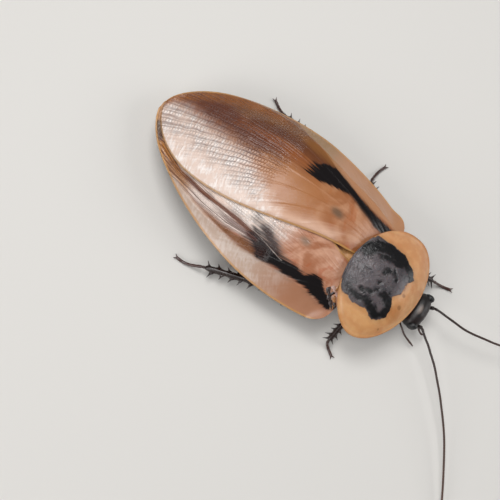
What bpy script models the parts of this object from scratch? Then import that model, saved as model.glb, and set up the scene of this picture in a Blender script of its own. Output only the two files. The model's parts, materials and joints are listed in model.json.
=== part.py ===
"""A life-size still model of a giant cockroach (Blaberus type) standing on its six feet.

Sizes are in millimetres until each mesh is made. The tail points along +Y, the head along -Y,
the animal's left is +X and the floor is z = 0.
"""
import math
import random

import bmesh
import bpy
from mathutils import Matrix, Vector

# Overall sizes in millimetres, measured on the photo at about 4.15 pixels to the millimetre.
MM = 0.001
GAP = 0.3
FLOOR = 0.0

# Fore wings (tegmina): plan outline.
WIDEST_Y = 24.3
WING_HALF_WIDTH = 20.6
BASE_HALF_WIDTH = 16.8
BASE_CURVE = 2.3
ROOF_TIP_Y = 66.4
TIP_POWERS = (1.61, 1.84)
CORNER_LENGTH = 3.4
CORNER_WIDTH = 2.6
HINGE_INNER = (3.2, 2.6)
LEFT_WING = {
    "side": 1, "tip_y": 64.8, "base_y": -1.2, "hinge_outer": (11.0, -1.4),
    "suture": {"depth": 10.9, "deepest_y": 46.5, "start_y": 5.0, "offset": 0.6, "gone_y": 8.0},
}
RIGHT_WING = {
    "side": -1, "tip_y": 65.2, "base_y": 0.5, "hinge_outer": (11.0, 0.3),
    "suture": {"depth": 9.2, "deepest_y": 45.5, "start_y": 9.5, "offset": 1.7, "gone_y": 18.0},
}
VEIN_BOW = [
    (0.0, 1.0), (0.2, 3.2), (0.45, 5.2), (0.56, 6.0), (0.66, 4.0), (0.8, 1.0), (1.0, -0.3),
]
MEMBRANE = 0.5
VEIN_HEIGHT = 0.22
OVERLAP_DROP = MEMBRANE + GAP + VEIN_HEIGHT

# Fore wings: height of the arched roof that both wings follow.
SHOULDER_Z = 11.2
SHOULDER_BASE_DIP = 0.9
SHOULDER_FALL = 4.0
BRIM_Z = 6.4
BRIM_RISE = 1.3
BRIM_BASE_RISE = 2.2
DOME_RISE = 3.4
DOME_POWER = 2.2

# Pronotum, the shield over the head.
SHIELD_CENTRE = (0.3, -5.8)
SHIELD_HALF_WIDTH = 15.2
SHIELD_FRONT = 8.9
SHIELD_REAR = 11.2
SHIELD_POWER = 1.94
SHIELD_TOP_Z = 14.7
SHIELD_SIDE_Z = 8.8
SHIELD_FRONT_LIFT = 0.8
SHIELD_REAR_LIFT = 4.9
SHIELD_THICKNESS = 0.7

# Head, tilted so that the face looks forward and a little down.
HEAD_CENTRE = Vector((2.0, -15.8, 5.0))
HEAD_TILT = math.radians(28.0)
HEAD_YAW = math.radians(5.0)
EYE_SIDE = 4.15
EYE_HALF = (1.05, 1.35, 1.75)
SOCKET = (2.9, 0.6, 2.9)

# Legs: (hip, knee end of the coxa, knee, ankle, points of the foot) for each leg.
LEGS = {
    "front_left": {
        "hip": (3.4, -9.4, 5.2), "trochanter": (5.9, -4.8, 2.7), "knee": (9.7, -9.5, 5.2),
        "ankle": (12.0, -15.6, 2.7), "femur_cut": 2.1, "tibia_cut": 0.5, "thick": 1.0, "spines": 8,
        "foot": [(12.8, -17.4, 1.2), (13.5, -19.2, 0.36), (14.2, -21.1, 0.36)],
    },
    "front_right": {
        "hip": (-3.6, -9.2, 5.2), "trochanter": (-5.0, -5.2, 2.7), "knee": (-11.4, -4.2, 5.2),
        "ankle": (-17.8, -4.2, 2.7), "femur_cut": 0.95, "tibia_cut": 0.45, "thick": 1.0, "spines": 8,
        "foot": [(-18.4, -4.8, 1.2), (-19.0, -6.1, 0.36), (-19.9, -7.7, 0.36)],
    },
    "middle_left": {
        "hip": (4.4, 1.8, 4.6), "trochanter": (5.8, 6.0, 2.6), "knee": (13.6, 4.4, 5.8),
        "ankle": (21.8, 12.9, 2.2), "femur_cut": 1.3, "tibia_cut": 0.62, "thick": 1.0, "spines": 10,
        "foot": [(24.4, 12.9, 0.9), (26.5, 12.7, 0.36), (28.5, 12.2, 0.36)],
    },
    "middle_right": {
        "hip": (-4.4, 1.8, 4.6), "trochanter": (-5.8, 6.0, 2.6), "knee": (-13.4, 2.8, 5.6),
        "ankle": (-17.4, 11.4, 2.2), "femur_cut": 1.6, "tibia_cut": 0.95, "thick": 1.0, "spines": 10,
        "foot": [(-17.5, 13.6, 0.9), (-17.1, 15.4, 0.36), (-16.5, 17.4, 0.36)],
    },
    "hind_left": {
        "hip": (4.8, 8.6, 4.4), "trochanter": (7.6, 15.2, 2.4), "knee": (18.7, 22.0, 5.2),
        "ankle": (19.9, 40.4, 2.9), "femur_cut": 0.65, "tibia_cut": 0.6, "thick": 1.15, "spines": 12,
        "foot": [(20.7, 42.2, 1.3), (21.6, 43.8, 0.36), (22.5, 45.6, 0.36)],
    },
    "hind_right": {
        "hip": (-4.8, 8.6, 4.4), "trochanter": (-5.0, 15.2, 2.2), "knee": (-16.7, 13.1, 5.4),
        "ankle": (-24.1, 30.8, 2.1), "femur_cut": 1.7, "tibia_cut": 0.8, "thick": 1.15, "spines": 12,
        "foot": [(-25.6, 33.6, 0.9), (-26.2, 35.4, 0.36), (-26.4, 37.7, 0.36)],
    },
}
COXA_RADIUS = 1.5
COXA_BREADTH = 1.3
COXA_DEPTH = 0.85
FEMUR_RADIUS = 1.0
TIBIA_RADIUS = 0.68
TARSUS_RADIUS = 0.42
ANKLE_GAP = 0.28
SOLE_DEPTH = 0.12
SPINE_LENGTHS = (2.0, 2.8)
SPINE_RADIUS = 0.27
CLAW_LENGTH = 1.4
CLAW_RADIUS = 0.22
CLAW_SPREAD = 0.65
CLAW_RISE = 0.1

# Feelers: points through which each curve runs after it has left its socket on the head.
ANTENNA_LEFT = [
    (5.5, -19.6, 5.7), (5.5, -20.9, 6.6), (5.5, -22.7, 7.0), (5.7, -25.0, 7.0),
    (6.2, -29.2, 6.8), (7.8, -34.2, 6.5), (9.3, -38.2, 6.2), (11.9, -43.2, 5.8),
    (15.9, -48.8, 5.0), (20.8, -54.1, 4.0), (27.1, -59.0, 2.8), (33.5, -62.8, 1.6),
]
ANTENNA_RIGHT = [
    (-0.5, -19.9, 5.5), (-1.2, -20.9, 6.0), (-2.0, -22.1, 6.0), (-2.9, -23.8, 5.9),
    (-4.0, -25.5, 5.7), (-5.8, -28.3, 5.4), (-8.0, -31.0, 5.1), (-11.2, -34.8, 4.6),
    (-17.2, -41.1, 3.4), (-24.7, -47.1, 2.3), (-31.7, -52.1, 1.4),
]
ANTENNA_BASE_RADIUS = 0.29
ANTENNA_END_RADIUS = 0.25
PALPS = {
    "maxillary_palp_right": [
        (-1.3, -14.9, 2.3), (-2.4, -15.6, 2.8), (-3.1, -16.8, 2.9), (-3.8, -18.0, 2.7),
        (-4.1, -19.6, 2.2), (-4.3, -22.0, 1.3),
    ],
    "maxillary_palp_left": [
        (3.5, -16.6, 1.42), (2.2, -18.3, 1.6), (0.8, -19.3, 2.3), (-0.3, -20.1, 2.8),
        (-0.9, -21.2, 2.8), (-0.6, -22.1, 2.3), (0.4, -21.9, 1.7),
    ],
    "labial_palp_right": [(0.7, -16.55, 1.1), (0.1, -17.9, 1.4), (-0.6, -18.8, 1.1)],
    "labial_palp_left": [(4.35, -15.65, 1.25), (5.3, -17.0, 1.5), (5.5, -18.0, 1.1)],
}
PALP_RADIUS = 0.27

BODY_COLLECTION = "giant_cockroach"


def smooth(value):
    """Ease from 0 to 1."""
    value = min(1.0, max(0.0, value))
    return value * value * (3.0 - 2.0 * value)


def clamped(value):
    return min(1.0, max(0.0, value))


def blend(a, b, amount):
    return a + (b - a) * amount


def table(value, stations):
    """Read a value off a short table of stations with eased steps between straight lines."""
    if value <= stations[0][0]:
        return stations[0][1]
    for (x0, y0), (x1, y1) in zip(stations, stations[1:]):
        if value <= x1:
            return blend(y0, y1, (value - x0) / (x1 - x0))
    return stations[-1][1]


def spline_points(points, steps):
    """Points along a smooth curve through the given points."""
    pts = [Vector(p) for p in points]
    ends = [2 * pts[0] - pts[1]] + pts + [2 * pts[-1] - pts[-2]]
    out = []
    for k in range(1, len(ends) - 2):
        p0, p1, p2, p3 = ends[k - 1:k + 3]
        for step in range(steps):
            t = step / steps
            a = 2 * p1
            b = p2 - p0
            c = 2 * p0 - 5 * p1 + 4 * p2 - p3
            d = -p0 + 3 * p1 - 3 * p2 + p3
            out.append(0.5 * (a + b * t + c * t * t + d * t * t * t))
    out.append(pts[-1])
    return out


def evenly(points, count):
    """Resample a polyline to evenly spaced points."""
    lengths = [0.0]
    for a, b in zip(points, points[1:]):
        lengths.append(lengths[-1] + (b - a).length)
    out = []
    for k in range(count):
        want = lengths[-1] * k / (count - 1)
        i = 0
        while i < len(lengths) - 2 and lengths[i + 1] < want:
            i += 1
        span = lengths[i + 1] - lengths[i]
        out.append(points[i].lerp(points[i + 1], (want - lengths[i]) / span if span else 0.0))
    return out


# Scene, collections and materials.
def clear_scene():
    for obj in list(bpy.data.objects):
        bpy.data.objects.remove(obj, do_unlink=True)


def new_collection(name):
    made = bpy.data.collections.new(name)
    bpy.context.scene.collection.children.link(made)
    return made


def material(name, colour, roughness):
    mat = bpy.data.materials.new(name)
    mat.use_nodes = True
    shader = mat.node_tree.nodes["Principled BSDF"]
    shader.inputs["Base Color"].default_value = (*colour, 1.0)
    shader.inputs["Roughness"].default_value = roughness
    return mat


def mesh_object(name, points, faces):
    """A mesh object from points in millimetres."""
    mesh = bpy.data.meshes.new(name)
    mesh.from_pydata([Vector(p) * MM for p in points], [], faces)
    mesh.update()
    obj = bpy.data.objects.new(name, mesh)
    PARTS.objects.link(obj)
    return obj


def recalculated(obj):
    """Face normals turned outward: made alike, then flipped if the volume is negative."""
    bm = bmesh.new()
    bm.from_mesh(obj.data)
    bmesh.ops.recalc_face_normals(bm, faces=bm.faces)
    if bm.calc_volume(signed=True) < 0.0:
        bmesh.ops.reverse_faces(bm, faces=bm.faces)
    bm.to_mesh(obj.data)
    bm.free()
    return obj


def loft(name, rings):
    """A closed body through rings of equal point counts, with a fan on each end."""
    count = len(rings[0])
    points = [p for ring in rings for p in ring]
    faces = []
    for r in range(len(rings) - 1):
        for k in range(count):
            a = r * count + k
            b = r * count + (k + 1) % count
            faces.append((a, b, b + count, a + count))
    for ring, turn in ((0, -1), (len(rings) - 1, 1)):
        centre = sum((Vector(p) for p in rings[ring]), Vector()) / count
        points.append(tuple(centre))
        hub = len(points) - 1
        for k in range(count):
            a = ring * count + k
            b = ring * count + (k + 1) % count
            faces.append((a, b, hub) if turn > 0 else (b, a, hub))
    return recalculated(mesh_object(name, points, faces))


def converted(curve_obj):
    """Turn a curve into a plain mesh object and remove the curve."""
    bpy.context.view_layer.update()
    graph = bpy.context.evaluated_depsgraph_get()
    mesh = bpy.data.meshes.new_from_object(curve_obj.evaluated_get(graph))
    mesh.transform(curve_obj.matrix_world)
    bm = bmesh.new()
    bm.from_mesh(mesh)
    bmesh.ops.remove_doubles(bm, verts=bm.verts, dist=0.00001)
    bm.to_mesh(mesh)
    bm.free()
    name = curve_obj.name
    bpy.data.objects.remove(curve_obj, do_unlink=True)
    obj = bpy.data.objects.new(name, mesh)
    PARTS.objects.link(obj)
    return recalculated(obj)


def tube(name, points, radii):
    """A tapered round limb: a bevelled curve with filled ends, turned into a mesh."""
    curve = bpy.data.curves.new(name, "CURVE")
    curve.dimensions = "3D"
    curve.bevel_depth = MM
    curve.bevel_resolution = 2
    curve.use_fill_caps = True
    spline = curve.splines.new("POLY")
    spline.points.add(len(points) - 1)
    for spot, point, radius in zip(spline.points, points, radii):
        spot.co = (*(Vector(point) * MM), 1.0)
        spot.radius = radius
    obj = bpy.data.objects.new(name, curve)
    PARTS.objects.link(obj)
    return converted(obj)


def largest_shell(obj):
    """Keep only the largest closed surface of a mesh."""
    bm = bmesh.new()
    bm.from_mesh(obj.data)
    left = set(bm.verts)
    shells = []
    while left:
        seed = left.pop()
        shell = {seed}
        front = [seed]
        while front:
            vert = front.pop()
            for edge in vert.link_edges:
                other = edge.other_vert(vert)
                if other in left:
                    left.discard(other)
                    shell.add(other)
                    front.append(other)
        shells.append(shell)
    shells.sort(key=len, reverse=True)
    extra = [v for shell in shells[1:] for v in shell]
    bmesh.ops.delete(bm, geom=extra, context="VERTS")
    bm.to_mesh(obj.data)
    bm.free()
    return obj


def union(base, additions):
    """Fuse small pieces into one body in a single Boolean, then remove the pieces."""
    if not additions:
        return base
    pieces = bpy.data.collections.new("pieces")
    bpy.context.scene.collection.children.link(pieces)
    for piece in additions:
        for home in list(piece.users_collection):
            home.objects.unlink(piece)
        pieces.objects.link(piece)
    boolean(base, "UNION", collection=pieces)
    for piece in additions:
        bpy.data.objects.remove(piece, do_unlink=True)
    bpy.data.collections.remove(pieces)
    return largest_shell(base)


def boolean(base, operation, other=None, collection=None):
    mod = base.modifiers.new("fuse", "BOOLEAN")
    mod.operation = operation
    mod.solver = "MANIFOLD"
    if collection:
        mod.operand_type = "COLLECTION"
        mod.collection = collection
    else:
        mod.object = other
    bpy.context.view_layer.update()
    graph = bpy.context.evaluated_depsgraph_get()
    mesh = bpy.data.meshes.new_from_object(base.evaluated_get(graph))
    base.modifiers.remove(mod)
    base.data = mesh


# Roof of the folded wings.
def margin_half(y, tip_y):
    """Half width of the folded wings at y, on the side whose wing ends at tip_y."""
    if y < WIDEST_Y:
        r = (WIDEST_Y - y) / WIDEST_Y
        return WING_HALF_WIDTH - (WING_HALF_WIDTH - BASE_HALF_WIDTH) * r ** BASE_CURVE
    r = clamped((y - WIDEST_Y) / (tip_y - WIDEST_Y))
    return WING_HALF_WIDTH * (1.0 - r ** TIP_POWERS[0]) ** (1.0 / TIP_POWERS[1])


def shoulder_z(y):
    dip = SHOULDER_BASE_DIP * (1.0 - smooth(y / 10.0))
    return SHOULDER_Z - dip - SHOULDER_FALL * clamped((y - 24.0) / 38.0) ** 1.5


def brim_z(y):
    lift = BRIM_RISE * smooth((y - 12.0) / 25.0) + BRIM_BASE_RISE * (1.0 - smooth(y / 5.0))
    return BRIM_Z + lift


def dome_rise(y):
    front = smooth((y + 6.0) / 24.0)
    rear = 1.0 - clamped((y - 30.0) / 33.0) ** 2.2
    return DOME_RISE * front * rear


def roof(x, y):
    """Upper surface of the folded wings: a dome with a sloping brim along each side."""
    side = abs(x)
    edge = max(0.6, margin_half(y, ROOF_TIP_Y))
    shoulder = edge * (0.74 + 0.19 * smooth((y - 15.0) / 35.0))
    if side <= shoulder:
        return shoulder_z(y) + dome_rise(y) * (1.0 - (side / shoulder) ** DOME_POWER)
    r = (side - shoulder) / (edge - shoulder)
    return shoulder_z(y) - (shoulder_z(y) - brim_z(y)) * (1.25 * r - 0.25 * r * r)


def steepness(x, y):
    """Height needed on the slope of the roof for one millimetre measured square to it."""
    step = 0.2
    rise_x = (roof(x + step, y) - roof(x - step, y)) / (2 * step)
    rise_y = (roof(x, y + step) - roof(x, y - step)) / (2 * step)
    return min(2.2, math.sqrt(1.0 + rise_x ** 2 + rise_y ** 2))


def suture_x(y, wing):
    """Inner margin of a fore wing, seen as a left wing (costal side at +x)."""
    suture = wing["suture"]
    deepest = suture["deepest_y"]
    if y < deepest:
        along = clamped((y - suture["start_y"]) / (deepest - suture["start_y"]))
        x = -suture["depth"] * math.sin(0.5 * math.pi * along) ** 1.5
    else:
        r = clamped((y - deepest) / (wing["tip_y"] - deepest))
        x = -suture["depth"] * (1.0 - r ** 2.2) ** (1.0 / 1.5)
    return x + suture["offset"] * (1.0 - smooth((y - 4.0) / (suture["gone_y"] - 4.0)))


def corner_inset(y, base_y):
    """How far the rounded outer base corner of a fore wing draws in from the margin."""
    r = clamped(1.0 - (y - base_y) / CORNER_LENGTH)
    return CORNER_WIDTH * (1.0 - math.sqrt(1.0 - r * r))


def wing_outline(wing):
    """Plan outline from the inner base corner round the tip to the outer base corner."""
    steps = 60
    tip_y, base_y = wing["tip_y"], wing["base_y"]
    line = []
    for k in range(steps):
        y = 3.4 + (tip_y - 3.4) * math.sin(0.5 * math.pi * k / steps)
        line.append(Vector((suture_x(y, wing), y)))
    for k in range(steps + 1):
        y = base_y + (tip_y - base_y) * math.cos(0.5 * math.pi * k / steps)
        line.append(Vector((margin_half(y, tip_y) - corner_inset(y, base_y), y)))
    return line


def wing_rays(wing, rays, rows):
    """A fan of curved rays from the hinge to the outline, as rows of plan points."""
    ends = evenly(wing_outline(wing), rays)
    outer = wing["hinge_outer"]
    grid = []
    for k, end in enumerate(ends):
        share = k / (rays - 1)
        root = Vector((
            blend(HINGE_INNER[0], outer[0], share),
            blend(HINGE_INNER[1], outer[1], share),
        ))
        span = end - root
        reach = clamped((span.length - 4.0) / 20.0)
        middle = root + Vector((0.15 * span.x + table(share, VEIN_BOW) * reach, 0.5 * span.y))
        ray = []
        for r in range(rows + 1):
            v = r / rows
            ray.append((1 - v) ** 2 * root + 2 * v * (1 - v) * middle + v * v * end)
        grid.append(ray)
    return grid


def tegmen(name, wing, drop):
    """One fore wing: a fan grid on the roof, veins raised along every third ray."""
    rays, rows = 31, 17
    side = wing["side"]
    grid = wing_rays(wing, rays, rows)
    points = []
    for k, ray in enumerate(grid):
        for r, spot in enumerate(ray):
            x, y = side * spot.x, spot.y
            z = roof(x, y) - drop(x, y)
            fade = smooth(r / 3.0) * (1.0 - smooth((r - rows + 3.0) / 3.0))
            if k % 3 == 1:
                z += VEIN_HEIGHT * fade
            points.append((x, y, z))
    faces = []
    for k in range(rays - 1):
        for r in range(rows):
            a = k * (rows + 1) + r
            b = a + rows + 1
            faces.append((a, a + 1, b + 1))
            faces.append((a, b + 1, b))
    if side > 0:
        faces = [face[::-1] for face in faces]
    obj = mesh_object(name, points, faces)
    if obj.data.polygons[0].normal.z < 0:
        obj.data.flip_normals()
    thick = obj.modifiers.new("membrane", "SOLIDIFY")
    thick.thickness = MEMBRANE * MM
    thick.offset = -1.0
    return obj


def right_drop(x, y):
    """How far the right fore wing lies below the roof, to pass under the left one."""
    cover = suture_x(y, LEFT_WING)
    share = smooth((x - cover + 3.2) / 2.4) * smooth((y - 4.0) / 4.5)
    return OVERLAP_DROP * share * steepness(x, y)


def no_drop(x, y):
    return 0.0


def hind_wing(name, side):
    """A folded hind wing: a plain curved sheet under the fore wings."""
    columns, rows = 7, 14
    start, end = 7.4, 59.6
    below = 2.0 * (MEMBRANE + GAP) + 0.35
    points = []
    for r in range(rows + 1):
        y = blend(start, end, r / rows)
        inner = 0.35
        reach = blend(7.5, 11.5, smooth((y - start) / 14.0))
        outer = reach * (1.0 - clamped((y - 30.0) / 30.5) ** 2.6) ** 0.6
        for c in range(columns + 1):
            x = side * blend(inner, max(outer, 1.6), c / columns)
            fold = 0.12 if c % 2 else 0.0
            points.append((x, y, roof(x, y) - below * steepness(x, y) - fold))
    faces = []
    for r in range(rows):
        for c in range(columns):
            a = r * (columns + 1) + c
            b = a + columns + 1
            faces.append((a, a + 1, b + 1))
            faces.append((a, b + 1, b))
    obj = mesh_object(name, points, faces)
    if obj.data.polygons[0].normal.z < 0:
        obj.data.flip_normals()
    thick = obj.modifiers.new("membrane", "SOLIDIFY")
    thick.thickness = MEMBRANE * MM
    thick.offset = -1.0
    return obj


# Pronotum.
def shield_z(x, y):
    """Upper surface of the pronotum in its own unturned frame, y measured from its centre."""
    length = SHIELD_REAR if y > 0 else SHIELD_FRONT
    rho = (abs(x / SHIELD_HALF_WIDTH) ** SHIELD_POWER + abs(y / length) ** SHIELD_POWER)
    rho = rho ** (1.0 / SHIELD_POWER)
    along = y / length / rho if rho > 1e-6 else 0.0
    if along > 0:
        rim = SHIELD_SIDE_Z + SHIELD_REAR_LIFT * along ** 1.3
    else:
        rim = SHIELD_SIDE_Z + SHIELD_FRONT_LIFT * along ** 2
    return rim + (SHIELD_TOP_Z - rim) * (1.0 - rho ** 2.2)


def shield_place(x, y):
    """Move a point of the pronotum's own frame to the body frame."""
    return x + SHIELD_CENTRE[0], y + SHIELD_CENTRE[1]


def pronotum():
    around, circles = 32, 6
    top, bottom = [], []
    for c in range(1, circles + 1):
        rho = (c / circles) ** 0.85
        for k in range(around):
            angle = 2.0 * math.pi * k / around
            cos, sin = math.cos(angle), math.sin(angle)
            length = SHIELD_REAR if sin > 0 else SHIELD_FRONT
            unit = (abs(cos) ** SHIELD_POWER + abs(sin) ** SHIELD_POWER) ** (1.0 / SHIELD_POWER)
            x = rho * SHIELD_HALF_WIDTH * cos / unit
            y = rho * length * sin / unit
            px, py = shield_place(x, y)
            top.append((px, py, shield_z(x, y)))
            inset = 0.985 if c == circles else 1.0
            bx, by = shield_place(x * inset, y * inset)
            bottom.append((bx, by, shield_z(x * inset, y * inset) - SHIELD_THICKNESS))
    centre = shield_place(0.0, 0.0)
    points = top + bottom
    points.append((*centre, SHIELD_TOP_Z))
    points.append((*centre, SHIELD_TOP_Z - SHIELD_THICKNESS))
    hub = len(points) - 2
    faces = []
    half = len(top)
    for k in range(around):
        n = (k + 1) % around
        faces.append((hub, k, n))
        faces.append((hub + 1, half + n, half + k))
        for c in range(circles - 1):
            a = c * around + k
            b = c * around + n
            faces.append((a, a + around, b + around))
            faces.append((a, b + around, b))
            faces.append((half + a, half + b + around, half + a + around))
            faces.append((half + a, half + b, half + b + around))
        a = (circles - 1) * around + k
        b = (circles - 1) * around + n
        faces.append((a, half + a, half + b))
        faces.append((a, half + b, b))
    return recalculated(mesh_object("pronotum", points, faces))


# Trunk of the body.
def trunk_ring(y, half_width, bottom, top, count, cap):
    """One ring of the trunk; cap(x, y) is the highest z allowed there."""
    ring = []
    middle = blend(bottom, top, 0.5)
    for k in range(count):
        angle = 2.0 * math.pi * (k + 0.5) / count
        cos, sin = math.cos(angle), math.sin(angle)
        x = half_width * math.copysign(abs(cos) ** 0.8, cos)
        z = middle + 0.5 * (top - bottom) * math.copysign(abs(sin) ** 0.8, sin)
        ring.append((x, y, min(z, cap(x, y))))
    return ring


def under_shield(x, y):
    top = shield_z(x - SHIELD_CENTRE[0], y - SHIELD_CENTRE[1])
    return top - SHIELD_THICKNESS - GAP - 0.15


def under_wings(x, y):
    depth = blend(MEMBRANE + GAP + 0.1, 2.95, smooth((y - 4.2) / 2.2))
    return roof(x, y) - depth * steepness(x, y)


def prothorax():
    """The chest under the shield, with a short neck that leans towards the head."""
    stations = [
        (-12.9, 1.7, 4.9, 6.6, 1.4), (-12.45, 2.9, 4.4, 7.8, 0.9), (-11.0, 4.8, 4.0, 10.2, 0.2),
        (-8.5, 6.0, 3.9, 13.4, 0.0), (-5.0, 6.6, 3.9, 14.0, 0.0), (-2.4, 6.6, 4.1, 14.0, 0.0),
        (-0.7, 6.2, 4.5, 13.0, 0.0),
    ]
    rings = []
    for y, half_width, bottom, top, aside in stations:
        ring = trunk_ring(y, half_width, bottom, top, 20, under_shield)
        rings.append([(x + aside, ring_y, z) for x, ring_y, z in ring])
    return loft("prothorax", rings)


def thorax():
    stations = [
        (-0.4, 6.2, 4.6, 11.0), (0.4, 7.6, 4.3, 12.5), (2.2, 8.8, 4.1, 13.0),
        (4.2, 9.2, 4.1, 13.0), (6.4, 9.3, 4.1, 12.0), (9.0, 9.4, 4.0, 12.0),
        (11.6, 9.6, 4.2, 12.0), (12.5, 9.2, 4.6, 11.4),
    ]
    cap = under_wings
    rings = [trunk_ring(y, w, b, t, 24, cap) for y, w, b, t in stations]
    return loft("thorax", rings)


ABDOMEN_WIDTH = [
    (12.8, 9.6), (18.0, 12.0), (26.0, 13.0), (34.0, 12.4), (40.0, 10.8), (45.0, 8.4),
    (49.0, 5.0), (50.6, 2.6),
]
ABDOMEN_BOTTOM = [(12.8, 5.0), (20.0, 4.7), (34.0, 4.7), (44.0, 5.1), (50.6, 5.8)]
ABDOMEN_TOP = [(12.8, 11.4), (22.0, 11.9), (34.0, 11.4), (44.0, 9.9), (50.6, 7.4)]


def abdomen():
    """Eight rings of plates, each with a small step at its hind edge."""
    seams = [12.8, 17.0, 21.6, 26.2, 30.8, 35.4, 39.8, 43.8, 47.4, 50.6]
    step = 0.3
    rings = []
    for front, rear in zip(seams, seams[1:]):
        for y, grow in ((front + 0.02, -step), (rear - 0.4, 0.0)):
            half = table(y, ABDOMEN_WIDTH) + grow
            low = table(y, ABDOMEN_BOTTOM) - 0.5 * grow
            high = table(y, ABDOMEN_TOP) + grow
            rings.append(trunk_ring(y, half, low, high, 22, under_wings))
    return loft("abdomen", rings)


# Head.
def head_point(side, up, out):
    """A point given to the left of the head's centre, up along its face and out from the face."""
    turn = Matrix.Rotation(HEAD_YAW, 3, "Z") @ Matrix.Rotation(HEAD_TILT, 3, "X")
    return HEAD_CENTRE + turn @ Vector((side, -out, up))


def head():
    stations = [
        (3.9, 1.6, 0.8, 0.0), (3.3, 3.3, 1.6, 0.0), (2.3, 4.4, 2.3, 0.0), (1.0, 4.8, 2.6, 0.0),
        (-0.5, 4.4, 2.5, 0.0), (-1.8, 3.6, 2.2, 0.1), (-2.8, 2.9, 1.9, 0.2),
        (-3.5, 2.2, 1.4, 0.3), (-3.9, 1.3, 0.8, 0.3),
    ]
    count = 20
    rings = []
    for up, half, depth, shift in stations:
        ring = []
        for k in range(count):
            angle = 2.0 * math.pi * k / count
            side = half * math.copysign(abs(math.cos(angle)) ** 0.85, math.cos(angle))
            out = shift + depth * math.copysign(abs(math.sin(angle)) ** 0.85, math.sin(angle))
            ring.append(tuple(head_point(side, up, out)))
        rings.append(ring)
    return loft("head", rings)


def eye(name, side, grow):
    """A kidney-like eye on the side of the head, grown by some millimetres for its socket."""
    mesh = bpy.data.meshes.new(name)
    bm = bmesh.new()
    bmesh.ops.create_uvsphere(bm, u_segments=14, v_segments=9, radius=1.0)
    for vert in bm.verts:
        unit = vert.co.copy()
        x = side * (EYE_SIDE + (EYE_HALF[0] + grow) * unit.x)
        up = 1.9 + (EYE_HALF[2] + grow) * unit.z
        out = 0.45 + (EYE_HALF[1] + grow) * unit.y
        vert.co = head_point(x, up, out) * MM
    bm.to_mesh(mesh)
    bm.free()
    obj = bpy.data.objects.new(name, mesh)
    PARTS.objects.link(obj)
    return recalculated(obj)


def antenna(name, side, points):
    """A feeler: a thick first joint in its socket, then a long thin whip."""
    root = head_point(side * SOCKET[0], SOCKET[1], SOCKET[2])
    line = evenly(spline_points([root] + points, 6), 34)
    line = [line[0], line[0].lerp(line[1], 0.45), line[0].lerp(line[1], 0.9)] + line[2:]
    radii = []
    last = len(line) - 1
    for k in range(len(line)):
        if k < 2:
            radii.append(0.5 if k else 0.4)
        else:
            radii.append(blend(ANTENNA_BASE_RADIUS, ANTENNA_END_RADIUS, k / last))
    radii[-1] = 0.12
    return tube(name, line, radii)


def palp(name, points):
    line = evenly(spline_points(points, 5), 11)
    shape = (0.75, 1.0, 0.95, 0.9, 1.0, 0.95, 0.9, 1.0, 1.15, 1.05, 0.5)
    return tube(name, line, [PALP_RADIUS * s for s in shape])


def cercus(name, side):
    root = Vector((side * 6.0, 48.1, 6.4))
    tip = Vector((side * 9.4, 53.4, 6.0))
    line = [root.lerp(tip, k / 9) for k in range(10)]
    shape = (0.55, 0.72, 0.8, 0.78, 0.74, 0.66, 0.58, 0.48, 0.36, 0.16)
    return tube(name, line, shape)


# Legs.
def shortened(start, end, cut_start, cut_end):
    """Both ends of a segment drawn in, to leave a gap at each joint."""
    way = (end - start).normalized()
    return start + way * cut_start, end - way * cut_end


def coxa(name, leg, grow=0.0):
    """The broad, flattened hip segment; grown, it cuts its own cavity in the trunk."""
    hip, end = Vector(leg["hip"]), Vector(leg["trochanter"])
    start, end = shortened(hip, end, -grow, 0.5 * GAP - grow)
    line = [start.lerp(end, s) for s in (0.0, 0.08, 0.3, 0.6, 0.88, 1.0)]
    shape = (0.55, 0.95, 1.0, 0.9, 0.68, 0.35)
    obj = tube(name, line, [COXA_RADIUS * leg["thick"] * s for s in shape])
    along = (end - start).normalized()
    across = along.cross(Vector((0, 0, 1))).normalized()
    deep = across.cross(along)
    for vert in obj.data.vertices:
        offset = vert.co / MM - start
        wide = across * offset.dot(across) * COXA_BREADTH
        thick = deep * offset.dot(deep) * COXA_DEPTH
        grown = (wide + thick).normalized() * grow
        vert.co = (start + along * offset.dot(along) + wide + thick + grown) * MM
    return obj


def with_cavities(trunk, words):
    """Cut a cavity for each hip segment into a piece of the trunk."""
    for word in words:
        cutter = coxa("cavity_" + word, LEGS[word], grow=GAP)
        boolean(trunk, "DIFFERENCE", other=cutter)
        bpy.data.objects.remove(cutter, do_unlink=True)
    return largest_shell(trunk)


def femur(name, leg):
    start, end = shortened(
        Vector(leg["trochanter"]), Vector(leg["knee"]), leg["femur_cut"], 0.5 * GAP)
    line = [start.lerp(end, s) for s in (0.0, 0.06, 0.2, 0.42, 0.65, 0.85, 0.96, 1.0)]
    radii = [FEMUR_RADIUS * leg["thick"] * s for s in (0.4, 0.75, 1.0, 1.08, 0.95, 0.78, 0.7, 0.35)]
    return tube(name, line, radii)


def spine(root, way, length, radius=SPINE_RADIUS):
    """A sharp spine, its root sunk into the limb."""
    mesh = bpy.data.meshes.new("spine")
    bm = bmesh.new()
    bmesh.ops.create_cone(bm, cap_ends=True, segments=5, radius1=radius * MM,
                          radius2=0.0, depth=length * MM)
    place = Matrix.Translation((root + way * 0.5 * length) * MM)
    place @= way.to_track_quat("Z", "X").to_matrix().to_4x4()
    bmesh.ops.transform(bm, matrix=place, verts=bm.verts)
    bmesh.ops.remove_doubles(bm, verts=bm.verts, dist=0.000001)
    bm.to_mesh(mesh)
    bm.free()
    obj = bpy.data.objects.new("spine", mesh)
    PARTS.objects.link(obj)
    return obj


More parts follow.
